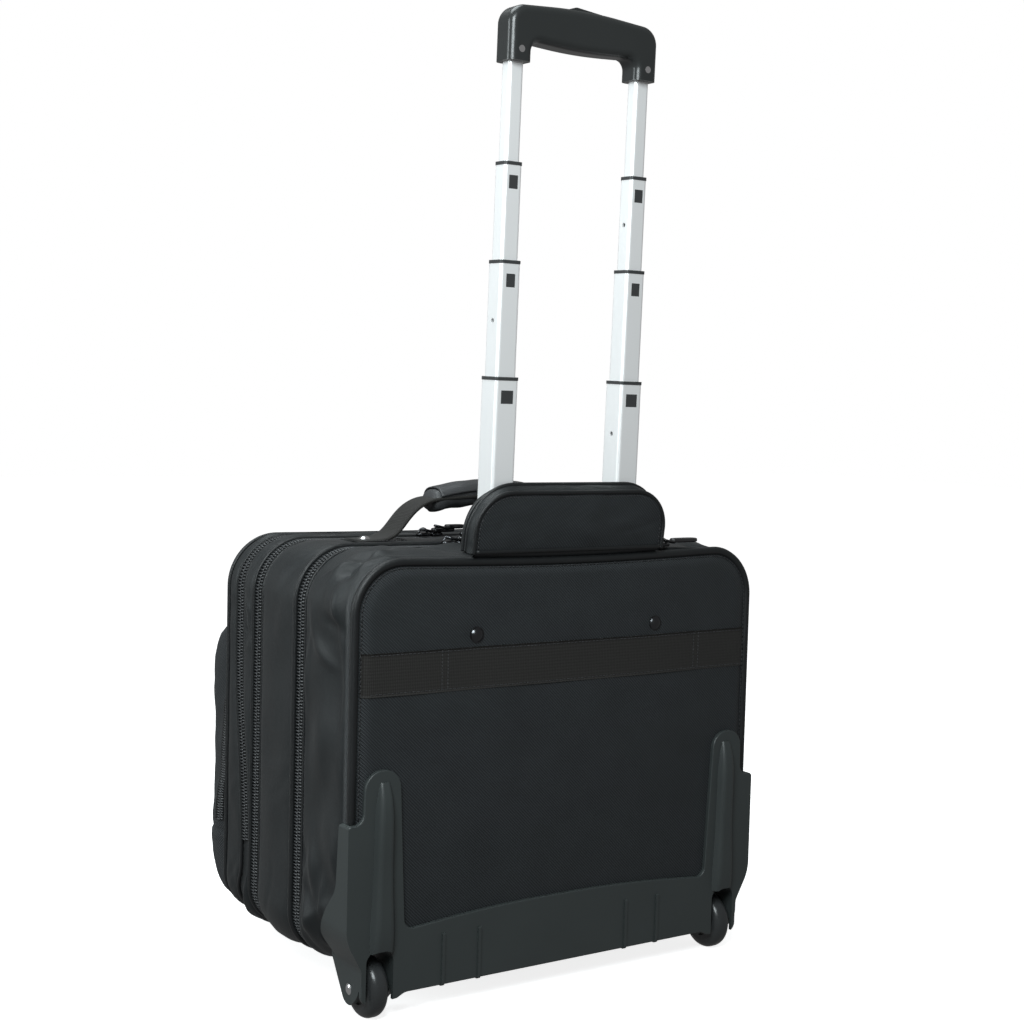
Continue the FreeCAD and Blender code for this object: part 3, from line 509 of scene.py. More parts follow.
def on_rim(y, height):
    """Points on the case's outline at depth y, pushed out by height. The outline comes first."""
    y, height = np.broadcast_arrays(np.asarray(y, float), np.asarray(height, float))
    if y.ndim < 2:
        y, height = (np.broadcast_to(v, (RIM_COUNT,))[:, None] for v in (y, height))
        return on_rim(y, height)[:, 0]
    drop = smooth(*DROP_Y, y)[..., None]
    points = BASE_RIM[0][:, None] * (1 - drop) + DROP_RIM[0][:, None] * drop
    out = BASE_RIM[1][:, None] * (1 - drop) + DROP_RIM[1][:, None] * drop
    flat = points + out * height[..., None]
    x, z = flat[..., 0], flat[..., 1]
    return np.stack([x, np.broadcast_to(y, x.shape), off_wells(x, y, z + sag(x, z, y))], -1)


def rim_out(y):
    """Outward directions round the case's outline at depth y."""
    drop = np.reshape(smooth(*DROP_Y, y), (-1, 1))
    flat = BASE_RIM[1] * (1 - drop) + DROP_RIM[1] * drop
    return np.stack([flat[:, 0], np.zeros(RIM_COUNT), flat[:, 1]], 1)


def zip_line(number):
    """A zip's y round the outline. The front one swings back on its way down each side."""
    z = DROP_RIM[0][:, 1]
    swing = ZIP_3_SWING * smooth(*ZIP_3_BEND, z) * smooth(DROP_LOW, DROP_LOW + 55, z)
    return ZIP_Y[number - 1] + swing * (number == 3)


def creases(s, y, count, low, high, length, seed, spread=45.0):
    """A field of soft diagonal folds over a strip, most of them near its four corners."""
    rng = np.random.default_rng(seed)
    span = s.max()
    field = np.zeros(np.broadcast(s, y).shape)
    corner_at = np.array([0.14, 0.36, 0.64, 0.86]) * span
    for k in range(count):
        if k % 3:
            middle = corner_at[rng.integers(4)] + rng.normal(0, spread)
        else:
            middle = rng.uniform(0, span)
        across = rng.uniform(low, high)
        angle = rng.normal(0, 0.75)
        reach, width = rng.uniform(0.4, 1.0) * length, rng.uniform(3.0, 9.0)
        along = (s - middle) * math.cos(angle) + (y - across) * math.sin(angle)
        aside = -(s - middle) * math.sin(angle) + (y - across) * math.cos(angle)
        aside = aside + along ** 2 * rng.normal(0, 0.004)
        shape = np.exp(-(aside / width) ** 2) * np.exp(-(along / reach) ** 4)
        field += shape * rng.choice([-1.0, 1.0]) * rng.uniform(0.35, 1.0)
    return field


def slow_noise(x, z, size, seed):
    """Smooth noise over two arrays of millimetres."""
    x, z = np.broadcast_arrays(x, z)
    values = [noise.noise((a / size, b / size, seed)) for a, b in zip(x.ravel(), z.ravel())]
    return np.array(values).reshape(x.shape)


# ---- gussets, zips and pipings -------------------------------------------------

def in_mouth(points):
    """Whether points lie in the opening of the case's top that the handle's bezel fills."""
    x, y, z = points.T
    low, high = MOUTH
    return (np.abs(x) < high.x - 4.5) & (y > low.y + 3.8) & (y < high.y - 2.4) & (z > CASE_HIGH - 20)


def gusset(name, body, crown, seed, crumple, back_edge=TAPE_HALF, front_edge=TAPE_HALF):
    """The padded ring of fabric round one section, drawn in at both its edges."""
    low, high = GUSSETS[name]
    swing = (zip_line(3) - ZIP_Y[2])[:, None]
    low = low + front_edge - UNDER_TAPE + swing * (name == "organizer_gusset")
    high = high - back_edge + UNDER_TAPE + swing * (name == "front_flap")
    width = high - low
    outer = np.linspace(0, 1, max(14, int(width.max() / 2.8)))
    y_outer = low + width * outer
    edge = np.minimum(y_outer - low, high - y_outer)
    s = RIM_S[:, None]
    near_floor = smooth(DROP_LOW + 70, DROP_LOW, DROP_RIM[0][:, 1])[:, None]
    loft = crown * np.sin(math.pi * outer) ** 0.7 * (1 + 1.6 * near_floor) - 3.8 * np.exp(-edge / 3.0)
    inside = smooth(0, 12, edge)
    folds = creases(s, y_outer, 64, low.min(), high.max(), 46, seed) * inside
    slow = slow_noise(s, y_outer * 1.3, 55.0, seed) * inside
    height = loft + crumple * (folds + slow * 2.0)
    hole = None
    if name == "rear_gusset":
        hole = in_mouth
        x, z = DROP_RIM[0][:, :1], DROP_RIM[0][:, 1:]
        near = smooth(100, 95, np.abs(x)) * smooth(-44, -40, y_outer) * (z > CASE_HIGH - 9)
        height = height * (1 - near) - 0.6 * near
    y_inner = low + width * np.linspace(1, 0, 6)
    rows = on_rim(np.concatenate([y_outer, y_inner], 1),
                  np.concatenate([height, np.full((RIM_COUNT, 6), -SKIN - 0.6)], 1))
    obj = grid_object(name + "_fabric", rows, wrap_u=True, wrap_v=True, flip=True, hole=hole)
    finish_piece(obj, "satin", body, (name,))
    lining_rows = on_rim(np.concatenate([y_inner, y_inner[:, ::-1]], 1),
                         np.concatenate([np.full(6, -SKIN - 1.0), np.full(6, -SKIN - 1.9)]))
    lined = grid_object(name + "_lining", lining_rows, wrap_u=True, wrap_v=True, flip=True, hole=hole)
    finish_piece(lined, "lining", body)


def rim_path(y, height, keep):
    """An open line along the part of the outline that keep picks by (x, z), and its outward directions."""
    mask = keep(*DROP_RIM[0].T)
    start = np.flatnonzero(mask & ~np.roll(mask, 1))[0]
    order = np.roll(np.arange(RIM_COUNT), -start)
    order = order[mask[order]]
    return on_rim(y, height)[order], rim_out(y)[order]


def cord_round(name, y, height, radius, body, replaces=()):
    """A piping right round the outline."""
    cord(name, on_rim(y, height), rim_out(y), radius, "piping", body, closed=True, replaces=replaces)


def zip_tape(name, path, up, toward, profile, thick, flip, body, replaces=()):
    """A zip half's woven tape. profile is (along toward, along up) pairs across it."""
    offsets, lifts = np.array(profile, float).T[:, None, :, None]
    top = path[:, None] + toward[:, None] * offsets + up[:, None] * lifts
    under = top[:, ::-1] - up[:, None] * thick
    tape = grid_object(name + "_tape", np.concatenate([top, under], 1), wrap_v=True, flip=flip)
    finish_piece(tape, "tape", body, replaces)


def zip_teeth(name, path, up, toward, size, middle, pitch, start, body):
    """A zip half's teeth: bars of one size, with their middles (along toward, along up) off the path."""
    stations = resample(np.concatenate([path, up, toward], 1), pitch, start=start)
    centres, ups, ways = stations[:, :3], stations[:, 3:6], stations[:, 6:]
    centres = centres + ways * middle[0] + ups * middle[1]
    teeth = scatter(name + "_teeth", *capsule(*size, flat=1.1), centres, (ways, ups, np.cross(ways, ups)))
    finish_piece(teeth, "coil", body)


def zip_half(name, path, out, side, body, replaces=()):
    """One half of a zip: tape, teeth and seam. side is +1 where the tape lies at higher y."""
    _, up, across = frames_along(path, False, out)
    toward = across * np.sign(across[:, 1:2] * side)
    profile = ((0.25, -0.4), (0.25, 0.1), (1.6, 0.5), (4.6, 0.1), (TAPE_HALF + 1.8, -0.9))
    zip_tape(name, path, up, toward, profile, 0.6, side > 0, body, replaces)
    zip_teeth(name, path, up, toward, (6.8, 0.85), (2.7, 1.2), 3.0, 2.0 if side > 0 else 0.5, body)
    sew(name + "_seam", path + toward * 6.8 + up * 0.1, up, body, length=2.4, pitch=3.4, radius=0.34)


def section_zip(number, back_body, front_body, keep):
    """A whole zip between two sections: a half on each, meeting at its y."""
    path, out = rim_path(zip_line(number), -1.5, keep)
    zip_half("zip_%d_back" % number, path, out, 1, back_body, ("zip_%d_coil" % number,))
    zip_half("zip_%d_front" % number, path, out, -1, front_body)


def hinge_strip(name, number, keep, body, other=None):
    """Fabric across the seam where a zip has ended. With other, it is webbing and rides on no body."""
    path, out = rim_path(zip_line(number), -1.8, keep)
    _, up, across = frames_along(path, False, out)
    toward = across * np.sign(across[:, 1:2])
    step = np.linspace(-1, 1, 7)
    top = path[:, None] + toward[:, None] * (step * (TAPE_HALF + 1.6))[None, :, None] \
        - up[:, None] * (0.9 * step ** 2)[None, :, None]
    grid = np.concatenate([top, top[:, ::-1] - up[:, None] * 1.2], 1)
    obj = grid_object(name, grid, wrap_v=True, flip=True)
    if other is None:
        finish_piece(obj, "satin", body)
        return
    finish_piece(obj, "webbing", None)
    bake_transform(obj)


def rounded_panel(half_w, low, high, foot_r, top_r, count):
    """(x, z) over a rounded rectangle, and m, which is 0 at its middle and 1 on its rim.
    With foot_r None it is the upper half of one, and m's middle is on its lower edge."""
    whole = foot_r is not None
    half_h, mid_z = ((high - low) / 2, (low + high) / 2) if whole else (high - low, low)
    a, b = np.meshgrid(np.linspace(-1, 1, count[0]), np.linspace(-1 if whole else 0, 1, count[1]),
                       indexing="ij")
    m = np.maximum(np.abs(a), np.abs(b))
    radius = np.where(b < 0, foot_r if whole else 0.0, top_r)
    dx, dz = np.abs(a) * half_w, np.abs(b) * half_h
    reach = 1 / np.maximum(m, 1e-9)
    cx, cz = half_w - radius, half_h - radius
    in_corner = (dx * reach > cx) & (dz * reach > cz)
    dd, dc = dx ** 2 + dz ** 2, dx * cx + dz * cz
    root = np.sqrt(np.maximum(dc ** 2 - dd * (cx ** 2 + cz ** 2 - radius ** 2), 0))
    reach = np.where(in_corner, (dc + root) / np.maximum(dd, 1e-9), reach)
    return np.sign(a) * dx * reach * m, mid_z + np.sign(b) * dz * reach * m, m


def case_panel(inset, count, dropped=True):
    """The case's outline drawn in by inset, as rounded_panel gives it."""
    low, foot_r = (DROP_LOW, DROP_CORNER_R) if dropped else (CASE_LOW, CORNER_R)
    return rounded_panel(HALF_W - inset, low + inset, CASE_HIGH - inset, foot_r - inset, CORNER_R - inset,
                         count)


def two_faced(name, x, z, front, back):
    """A padded plate from two height fields over one outline, closed round its rim."""
    n, m = x.shape
    index = np.arange(n * m).reshape(n, m)
    quads = np.stack([index[:-1, :-1], index[1:, :-1], index[1:, 1:], index[:-1, 1:]], -1).reshape(-1, 4)
    ring = np.concatenate([index[:, 0], index[-1, 1:], index[-2::-1, -1], index[0, -2:0:-1]])
    after = np.roll(ring, -1)
    wall = np.stack([after, ring, ring + n * m, after + n * m], -1)
    faces = np.concatenate([quads[:, ::-1], quads + n * m, wall])
    points = np.stack([xyz(x, front, z), xyz(x, back, z)])
    flat = points[..., [0, 2]].reshape(-1, 2) / 1000.0
    return new_object(name, points, faces, flat[faces].reshape(-1, 2))


def pad(name, x, z, front, back, material, body, replaces=()):
    """A two-faced padded plate, given its material and body. front is its face at higher y."""
    obj = two_faced(name, x, z, front, back)
    finish_piece(obj, material, body, replaces)


# ---- simulated padding ---------------------------------------------------------

PUFF_FRAMES = 16


def puff(obj, voxel, pressure, cap, free):
    """Lets a closed shape swell as cloth does, then keeps the result. cap is in metres,
    and free gives how far each point may go, from 0 to 1 of it."""
    remesh = obj.modifiers.new("remesh", "REMESH")
    remesh.mode, remesh.voxel_size, remesh.use_smooth_shade = "VOXEL", voxel, True
    apply_modifiers(obj)
    rest = vertex_array(obj.data)
    cloth = obj.modifiers.new("cloth", "CLOTH")
    settings = cloth.settings
    settings.use_pressure, settings.uniform_pressure_force = True, pressure
    settings.effector_weights.gravity = 0.0
    settings.mass, settings.quality = 0.25, 6
    settings.bending_stiffness = 2.0
    cloth.point_cache.frame_start, cloth.point_cache.frame_end = 1, PUFF_FRAMES
    for frame_number in range(1, PUFF_FRAMES + 1):
        bpy.context.scene.frame_set(frame_number)
    apply_modifiers(obj)
    bpy.context.scene.frame_set(1)
    moved = vertex_array(obj.data) - rest
    size = np.linalg.norm(moved, axis=1)
    moved *= np.minimum(1.0, cap * free(rest) / np.maximum(size, 1e-9))[:, None]
    obj.data.vertices.foreach_set("co", (rest + moved).astype(np.float32).ravel())
    obj.data.update()


def apply_modifiers(obj):
    """Replaces the mesh by what its modifiers make of it."""
    graph = bpy.context.evaluated_depsgraph_get()
    mesh = bpy.data.meshes.new_from_object(obj.evaluated_get(graph))
    obj.modifiers.clear()
    obj.data = mesh


def subdivide(obj):
    """Smooths a mesh by one level of subdivision."""
    modifier = obj.modifiers.new("smooth", "SUBSURF")
    modifier.levels = modifier.render_levels = 1
    apply_modifiers(obj)


def read(items, key, width=1, kind=np.float32):
    """One property of a mesh's vertices, loops or faces, as an array."""
    flat = np.empty(len(items) * width, kind)
    items.foreach_get(key, flat)
    return flat.reshape(-1, width) if width > 1 else flat


def vertex_array(mesh):
    return read(mesh.vertices, "co", 3).astype(float)


def box_uv(obj):
    """UVs in metres, laid flat along whichever axis each face looks at most."""
    mesh = obj.data
    totals = read(mesh.polygons, "loop_total", kind=np.int32)
    main = np.repeat(np.argmax(np.abs(read(mesh.polygons, "normal", 3)), 1), totals)[:, None]
    p = vertex_array(mesh)[read(mesh.loops, "vertex_index", kind=np.int32)]
    uv = np.where(main == 0, p[:, [1, 2]], np.where(main == 1, p[:, [0, 2]], p[:, [0, 1]]))
    layer = mesh.uv_layers.get("uv") or mesh.uv_layers.new(name="uv")
    layer.data.foreach_set("uv", uv.ravel())


def press(obj, change):
    """Moves every point by change(points, normals), both given in case millimetres."""
    local = from_model(vertex_array(obj.data))
    moved = local + change(local, read(obj.data.vertex_normals, "vector", 3).astype(float))
    obj.data.vertices.foreach_set("co", place(moved).astype(np.float32).ravel())
    obj.data.update()


def on_surface(obj, path, lift):
    """The nearest points of a mesh to a path, with the surface's directions there."""
    faces = [list(face.vertices) for face in obj.data.polygons]
    tree = BVHTree.FromPolygons(vertex_array(obj.data).tolist(), faces)
    found = [tree.find_nearest(Vector(p))[:2] for p in place(path)]
    points, normals = np.array([[list(v) for v in pair] for pair in found]).swapaxes(0, 1)
    for _ in range(6):
        for line in (normals, points):
            line[1:-1] = (line[:-2] + line[1:-1] * 2 + line[2:]) / 4
    normals /= np.linalg.norm(normals, axis=1)[:, None]
    return from_model(points) + normals * lift, normals


# ---- back panel ---------------------------------------------------------------

TACKS_X = (137.0, 131.0, -149.0, -155.0)


def panel_height(x, z, m):
    """How far the padded back panel stands out, over its whole face."""
    crown = np.clip(1 - (x / 190.0) ** 2, 0, 1) * np.clip(1 - ((z - 240.0) / 170.0) ** 2, 0, 1)
    rim = smooth(1.0, 0.955, m)
    band = np.exp(-((z - (BAND_LOW + BAND_HIGH) / 2) / 24.0) ** 4)
    rivets = sum(np.exp(-((x - side * RIVET_X) ** 2 + (z - RIVET_Z) ** 2) / 150.0) for side in (-1, 1))
    wavy = slow_noise(x, z, 65.0, 3.0) * crown ** 0.5
    return 0.6 + 5.0 * rim + 3.4 * crown + 0.9 * wavy - 0.9 * band * crown - 1.3 * rivets * crown ** 0.3


def back_panel():
    x, z, m = case_panel(2 * PIPING_R - 1.5, (120, 100), dropped=False)
    front = panel_height(x, z, m)
    z = off_wells(x, 0, z + sag(x, z, 0.0))
    pad("back_panel_fabric", x, z, front, -2.6, "twill", "case", ("back_panel",))
    cord_round("back_piping_cord", 0.0, -PIPING_R, PIPING_R, "case", replaces=("back_piping",))
    sew("back_seam", on_rim(3.2, -2 * PIPING_R - 1.2), (0, 1, 0), "case", closed=True)


def band_face(x, z):
    """How far the band's outer face stands out over the panel."""
    return panel_height(x, z, np.abs(x) / (HALF_W - 2 * PIPING_R + 1.5)) + 0.9 + 0.3 * np.sin(x / 23.0)


def back_band():
    """The webbing band across the panel, with its edge seams and bar tacks."""
    reach = HALF_W - 2 * PIPING_R - 1.0
    x, z = np.meshgrid(np.linspace(-reach, reach, 160), np.linspace(BAND_LOW, BAND_HIGH, 14), indexing="ij")
    z = z + 0.7 * np.sin(x / 37.0) * (1 - np.abs(z - (BAND_LOW + BAND_HIGH) / 2) / 30)
    face = band_face(x, z)
    obj = two_faced("back_band_webbing", x, z, face, face - 1.4)
    finish_piece(obj, "webbing", "case", ("back_band",))
    run = np.linspace(-reach + 6, reach - 6, 170)
    for k, level in enumerate((BAND_LOW + 2.2, BAND_HIGH - 2.2)):
        sew("band_edge_%d" % k, xyz(run, band_face(run, level) + 0.1, level), (0, 1, 0), "case")
    run = np.linspace(BAND_LOW + 2, BAND_HIGH - 2, 14)
    for k, across in enumerate(TACKS_X):
        line = xyz(across, band_face(across, run) + 0.1, run)
        sew("band_tack_%d" % k, line, (0, 1, 0), "case", length=2.4, pitch=3.2)


# ---- sections -----------------------------------------------------------------

def section_rings():
    gusset("rear_gusset", "case", 1.8, 11, 3.6, back_edge=PIPING_R + 1.4)
    gusset("laptop_gusset", "laptop_section", 2.8, 23, 1.0)
    gusset("organizer_gusset", "organizer_section", 2.8, 37, 1.5)
    gusset("front_flap", "front_flap", 1.2, 53, 0.9, front_edge=3.4)


def under_case(x, z):
    return (np.abs(x) < 176) & (z < DROP_LOW + 20)


def off_bottom(x, z):
    return ~under_case(x, z)


def section_zips():
    """The three zips, the hinge strips under the case, and the cords beside the zips."""
    section_zip(1, "case", "laptop_section", off_bottom)
    section_zip(2, "laptop_section", "organizer_section", off_bottom)
    section_zip(3, "organizer_section", "front_flap", lambda x, z: z > ZIP_3_END - 8)
    hinge_strip("hinge_1", 1, under_case, "case", "laptop_section")
    hinge_strip("hinge_2", 2, under_case, "laptop_section", "organizer_section")
    hinge_strip("hinge_3", 3, under_case, "organizer_section", "front_flap")
    for side, tag in SIDES:
        def beside(x, z, side=side):
            return off_bottom(x, z) & (x * side > 0) & (z < ZIP_3_END)
        hinge_strip("zip_3_tuck_" + tag, 3, beside, "front_flap")
    cord_round("rear_front_cord", ZIP_Y[0] + TAPE_HALF + 1.5, -1.0, 1.4, "case")
    cord_round("laptop_back_cord", ZIP_Y[0] - TAPE_HALF - 2.0, 1.0, 2.8, "laptop_section")
    cord_round("laptop_front_cord", ZIP_Y[1] + TAPE_HALF + 1.4, -1.2, 1.3, "laptop_section")
    cord_round("organizer_back_cord", ZIP_Y[1] - TAPE_HALF - 1.4, 0.4, 2.0, "organizer_section")
    cord_round("organizer_front_cord", zip_line(3) + TAPE_HALF + 1.4, -1.0, 1.4, "organizer_section")
    cord_round("flap_back_cord", zip_line(3) - TAPE_HALF - 1.2, -0.4, 1.6, "front_flap")
    cord_round("front_cord", FLAP_FRONT + 1.4, -0.8, 2.2, "front_flap")


# ---- hood -----------------------------------------------------------------------

HOOD_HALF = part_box("hood_shell")[1].x * 1000
HOOD_Y, HOOD_TOP, HOOD_LEAN, HOOD_EAR = 4.5, 469.0, 8.0, 4.0
HOOD_SIDE_IN, HOOD_TOP_IN, HOOD_DEEP = 1.6, 5.0, 10.5
HOOD_REAR_R, HOOD_FRONT_R = 36.0, 45.0


def lean(points):
    """From the hood's upright drawing to its real slant, about its foot."""
    points = np.asarray(points, float)
    c, s = math.cos(math.radians(HOOD_LEAN)), math.sin(math.radians(HOOD_LEAN))
    y, z = points[..., 1] - HOOD_Y, points[..., 2] - CASE_HIGH
    return np.stack([points[..., 0], HOOD_Y + y * c + z * s, CASE_HIGH - y * s + z * c], -1)


def hood_line(side_in, top_in, radius, y):
    """Up one side of the hood, over its top and down the other."""
    half, top, low = HOOD_HALF - side_in, HOOD_TOP - top_in, CASE_HIGH + 0.5
    turn = np.linspace(0, math.pi / 2, 20)
    side = xyz(half, y, np.linspace(low, top - radius, 12)[:-1])
    bend = xyz(half - radius + radius * np.cos(turn), y, top - radius + radius * np.sin(turn))
    flat = xyz(np.linspace(half - radius, radius - half, 44)[1:-1], y, top)
    right = np.concatenate([side, bend])
    return np.concatenate([right, flat, right[::-1] * np.array([-1.0, 1.0, 1.0])])


def hood_panel():
    """The hood's twill rear face, swelled and creased."""
    half, top = HOOD_HALF - HOOD_SIDE_IN, HOOD_TOP - HOOD_TOP_IN
    x, z, _ = rounded_panel(half, CASE_HIGH + 0.5, top, None, HOOD_REAR_R, (110, 54))
    up = (z - CASE_HIGH) / (top - CASE_HIGH)
    belly = np.clip(1 - (x / half) ** 2, 0, 1) ** 0.6 * np.sin(math.pi * np.clip(up, 0, 1)) ** 0.7
    folds = creases(x + half, z, 26, 412, 458, 34, 71, 26.0)
    slow = slow_noise(x, z, 34.0, 5.0)
    face = HOOD_Y + 3.4 * belly + 1.3 * slow * belly ** 0.5 + 0.8 * folds * belly ** 0.6
    obj = two_faced("hood_panel", x, z, face, face - 2.2)
    press(obj, lambda points, _: lean(points) - points)
    finish_piece(obj, "twill", "hood", ("hood_shell",))


def from_foot(points):
    """Directions away from the middle of the hood's foot, seen from behind."""
    away = points - np.array([0.0, 0.0, CASE_HIGH])
    away[..., 1] = 0.0
    return away / np.linalg.norm(away, axis=-1)[..., None]


def hood_gusset(rear, front):
    """The satin wall that slopes from the rear face to the opening, where it ends in two ears."""
    ear = HOOD_EAR * smooth(84, 100, np.abs(front[:, 0]))[:, None]
    steps = np.linspace(0, 1, 8)[None, :]
    ears = xyz(front[:, :1], front[:, 1:2] - ear * (1 - steps), front[:, 2:])
    slope = rear[:, None] * steps[..., None] + front[:, None] * (1 - steps[..., None])
    wave = slow_noise(np.arange(len(rear))[:, None] * 2.0, steps * 20, 12.0, 8.0)
    swell = np.sin(math.pi * steps) * (1.3 + wave * 0.9)
    skin = np.concatenate([ears[:, :-1], slope + from_foot(slope) * swell[..., None]], 1)
    inner = skin[:, ::-1] - from_foot(skin[:, ::-1]) * 2.2
    shell = grid_object("hood_gusset", lean(np.concatenate([skin, inner], 1)), wrap_v=True, flip=True)
    finish_piece(shell, "satin", "hood")
    return ears[:, 0]


def hood():
    """The hood's rear face and gusset, their piping and binding, and the seam at its foot."""
    rear = hood_line(HOOD_SIDE_IN, HOOD_TOP_IN, HOOD_REAR_R, HOOD_Y)
    front = hood_line(0.0, 0.0, HOOD_FRONT_R, HOOD_Y - HOOD_DEEP)
    hood_panel()
    opening = hood_gusset(rear, front)
    pipings = [("hood_piping", rear + np.array([0.0, 0.6, 0.0]), 2.0), ("hood_seam", front, 1.5),
               ("hood_binding", opening - np.array([0.0, 0.6, 0.0]), 2.2)]
    for name, line, radius in pipings:
        cord(name, lean(line), line - np.array([0.0, 0.0, CASE_HIGH]), radius, "piping", "hood")
    row = lean(hood_line(HOOD_SIDE_IN + 4, HOOD_TOP_IN + 4, 32.0, HOOD_Y + 1.0))
    sew("hood_stitch", row, (0, 1, 0.1), "hood")
    edge = np.linspace(4 - HOOD_HALF, HOOD_HALF - 4, 60)
    low = CASE_HIGH + sag(edge, CASE_HIGH, 0.0) - 1.5
    profile = ((-1.0, low), (HOOD_Y - 0.6, low + 4), (HOOD_Y + 0.6, CASE_HIGH + 2.4),
               (HOOD_Y - 1.0, CASE_HIGH + 2.0), (-3.0, low))
    apron = np.stack([xyz(edge, y, z) for y, z in profile], 1)
    finish_piece(grid_object("hood_apron", apron, wrap_v=True, flip=True), "satin", "case")
    cord("hood_foot", xyz(edge, HOOD_Y + 0.8, CASE_HIGH + 2.4), (0, 0, 1), 2.2, "piping", "case")


# ---- carry handle ----------------------------------------------------------------

WRAP_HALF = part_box("carry_grip")[1].x * 1000
STRAP_HALF = [(150, 1.4), (136, 1.6), (122, 2.4), (111, 7), (103, 16), (94, 27), (84, 35), (72, 40),
              (50, 42), (20, 43.5), (0, 44)]      # x, and height over the case's top
PATCH_SEAM = [(100, -18, 0), (148, -18, 0), (148, 18, 0), (100, 18, 0), (100, -18, 0)]
DOME = [(-0.6, 0.0), (-0.6, 5.4), (0.0, 6.0), (0.5, 5.7), (0.8, 5.0), (1.5, 4.6), (2.4, 3.4), (2.9, 1.8),
        (3.0, 0.0)]                               # a rivet's height and radius, from its foot up


def carry_handle():
    """Webbing from rivet to rivet, and the padded leather wrap round its middle."""
    top = CASE_HIGH
    path = smooth_line(mirrored([(x, CARRY_Y, top + rise) for x, rise in STRAP_HALF]), 170, 14)
    guide = np.cross(np.gradient(path, axis=0), np.array([0.0, 1.0, 0.0]))
    guide *= np.sign(guide[:, 2:3] + 1e-9)
    strap = sweep("carry_webbing", path, guide, strap_section(34.0, 3.6))
    finish_piece(strap, "webbing", None, ("carry_strap",))
    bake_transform(strap)
    carry_wrap()
    carry_flap()
    carry_patches()


def wrap_point(x, turn, grow=0.0):
    """A point of the wrap's skin: x along the handle and turn round it, 0 at the top."""
    end = np.clip(np.abs(x) / WRAP_HALF, 0, 1)
    middle = CASE_HIGH + 45.5 - 8.0 * end ** 2
    wide, tall = 16.5 * (1 - 0.06 * end ** 4), 11.0 * (1 - 0.06 * end ** 6)
    c, s = np.cos(turn), np.sin(turn)
    return np.stack([x, CARRY_Y + (wide + grow) * np.sign(s) * np.abs(s) ** 0.8,
                     middle + (tall + grow) * np.sign(c) * np.abs(c) ** 0.8], -1)


def carry_wrap():
    """The padded leather round the strap, swelled and wrinkled."""
    x = np.concatenate([[-WRAP_HALF], np.linspace(-WRAP_HALF, WRAP_HALF, 50), [WRAP_HALF]])
    turn = np.linspace(0, 2 * math.pi, 40, endpoint=False)
    grid = wrap_point(*np.meshgrid(x, turn, indexing="ij"))
    for end in (0, -1):
        grid[end] = grid[end].mean(0)
    obj = grid_object("carry_wrap", grid, wrap_v=True, flip=True)

    def free(points):
        return smooth(WRAP_HALF / 1000, WRAP_HALF / 1000 - 0.02, np.abs(points[:, 0])) * 0.8 + 0.2

    def wrinkle(points, normals):
        s, y = points[:, 0] + WRAP_HALF, points[:, 1]
        folds = creases(s, y, 34, CARRY_Y - 18, CARRY_Y + 18, 26, 91, 26.0)
        return normals * (folds * 0.9 + slow_noise(s, points[:, 2], 16.0, 4.0) * 0.8)[:, None]

    puff(obj, 0.004, 3.0, 0.003, free)
    subdivide(obj)
    press(obj, wrinkle)
    box_uv(obj)
    finish_piece(obj, "leather", "carry_handle", ("carry_grip",))


def carry_flap():
    """The leather flap that closes over the wrap, and its two seams."""
    x = np.linspace(-WRAP_HALF + 5, WRAP_HALF - 5, 70)
    x, turn = np.meshgrid(x, np.linspace(-1.9, 1.3, 30), indexing="ij")
    lift = 1.6 + 0.5 * slow_noise(x, turn * 14, 14.0, 6.0)
    flap = grid_object("carry_flap", wrap_point(x, turn, lift), flip=True)
    modifier = flap.modifiers.new("thick", "SOLIDIFY")
    modifier.thickness, modifier.offset = 0.0013, -1.0
    apply_modifiers(flap)
    finish_piece(flap, "leather", "carry_handle")
    x = np.linspace(-WRAP_HALF + 8, WRAP_HALF - 8, 80)
    for k, at in enumerate((-1.75, 1.15)):
        line = wrap_point(x, np.full(80, at), 2.0)
        out = wrap_point(x, np.full(80, at), 3.0) - line
        sew("carry_stitch_%d" % k, line, out, "carry_handle", length=2.6, pitch=3.8)


def revolve(name, centre, axis, profile, sides=28):
    """A turned piece: profile is (distance along the axis, radius) pairs."""
    axis = np.array(axis, float)
    helper = np.array([0.0, 0.0, 1.0]) if abs(axis[2]) < 0.9 else np.array([1.0, 0.0, 0.0])
    first = np.cross(axis, helper)
    second = np.cross(axis, first)
    turn = np.linspace(0, 2 * math.pi, sides, endpoint=False)
    ring = np.cos(turn)[:, None] * first + np.sin(turn)[:, None] * second
    profile = np.asarray(profile, float)
    grid = np.asarray(centre, float) + profile[:, None, :1] * axis + profile[:, None, 1:] * ring[None]
    return grid_object(name, grid, wrap_v=True, flip=True)


def carry_patches():
    """Stitched webbing ends and their rivets on top of the laptop section."""
    for side, tag in SIDES:
        x, y = np.meshgrid(np.linspace(96, 152, 30) * side, np.linspace(-20, 20, 18) + CARRY_Y, indexing="ij")
        grid = xyz(x, y, CASE_HIGH + 0.6 + sag(x, CASE_HIGH, y) + 1.6)
        both = np.concatenate([grid, grid[:, ::-1] - np.array([0, 0, 2.6])], 1)
        patch = grid_object("carry_patch_" + tag, both, wrap_v=True, flip=side < 0)
        finish_piece(patch, "satin", "laptop_section", ("carry_anchors",))
        line = evenly(PATCH_SEAM, 60) * np.array([side, 1, 1]) + np.array([0, CARRY_Y, CASE_HIGH + 2.6])
        sew("patch_seam_" + tag, line, (0, 0, 1), "laptop_section")
        rivet = revolve("carry_rivet_" + tag, (side * 137, CARRY_Y, CASE_HIGH + 3.0), (0, 0, 1), DOME)
        finish_piece(rivet, "steel", "laptop_section")


# ---- front flap and pocket ------------------------------------------------------

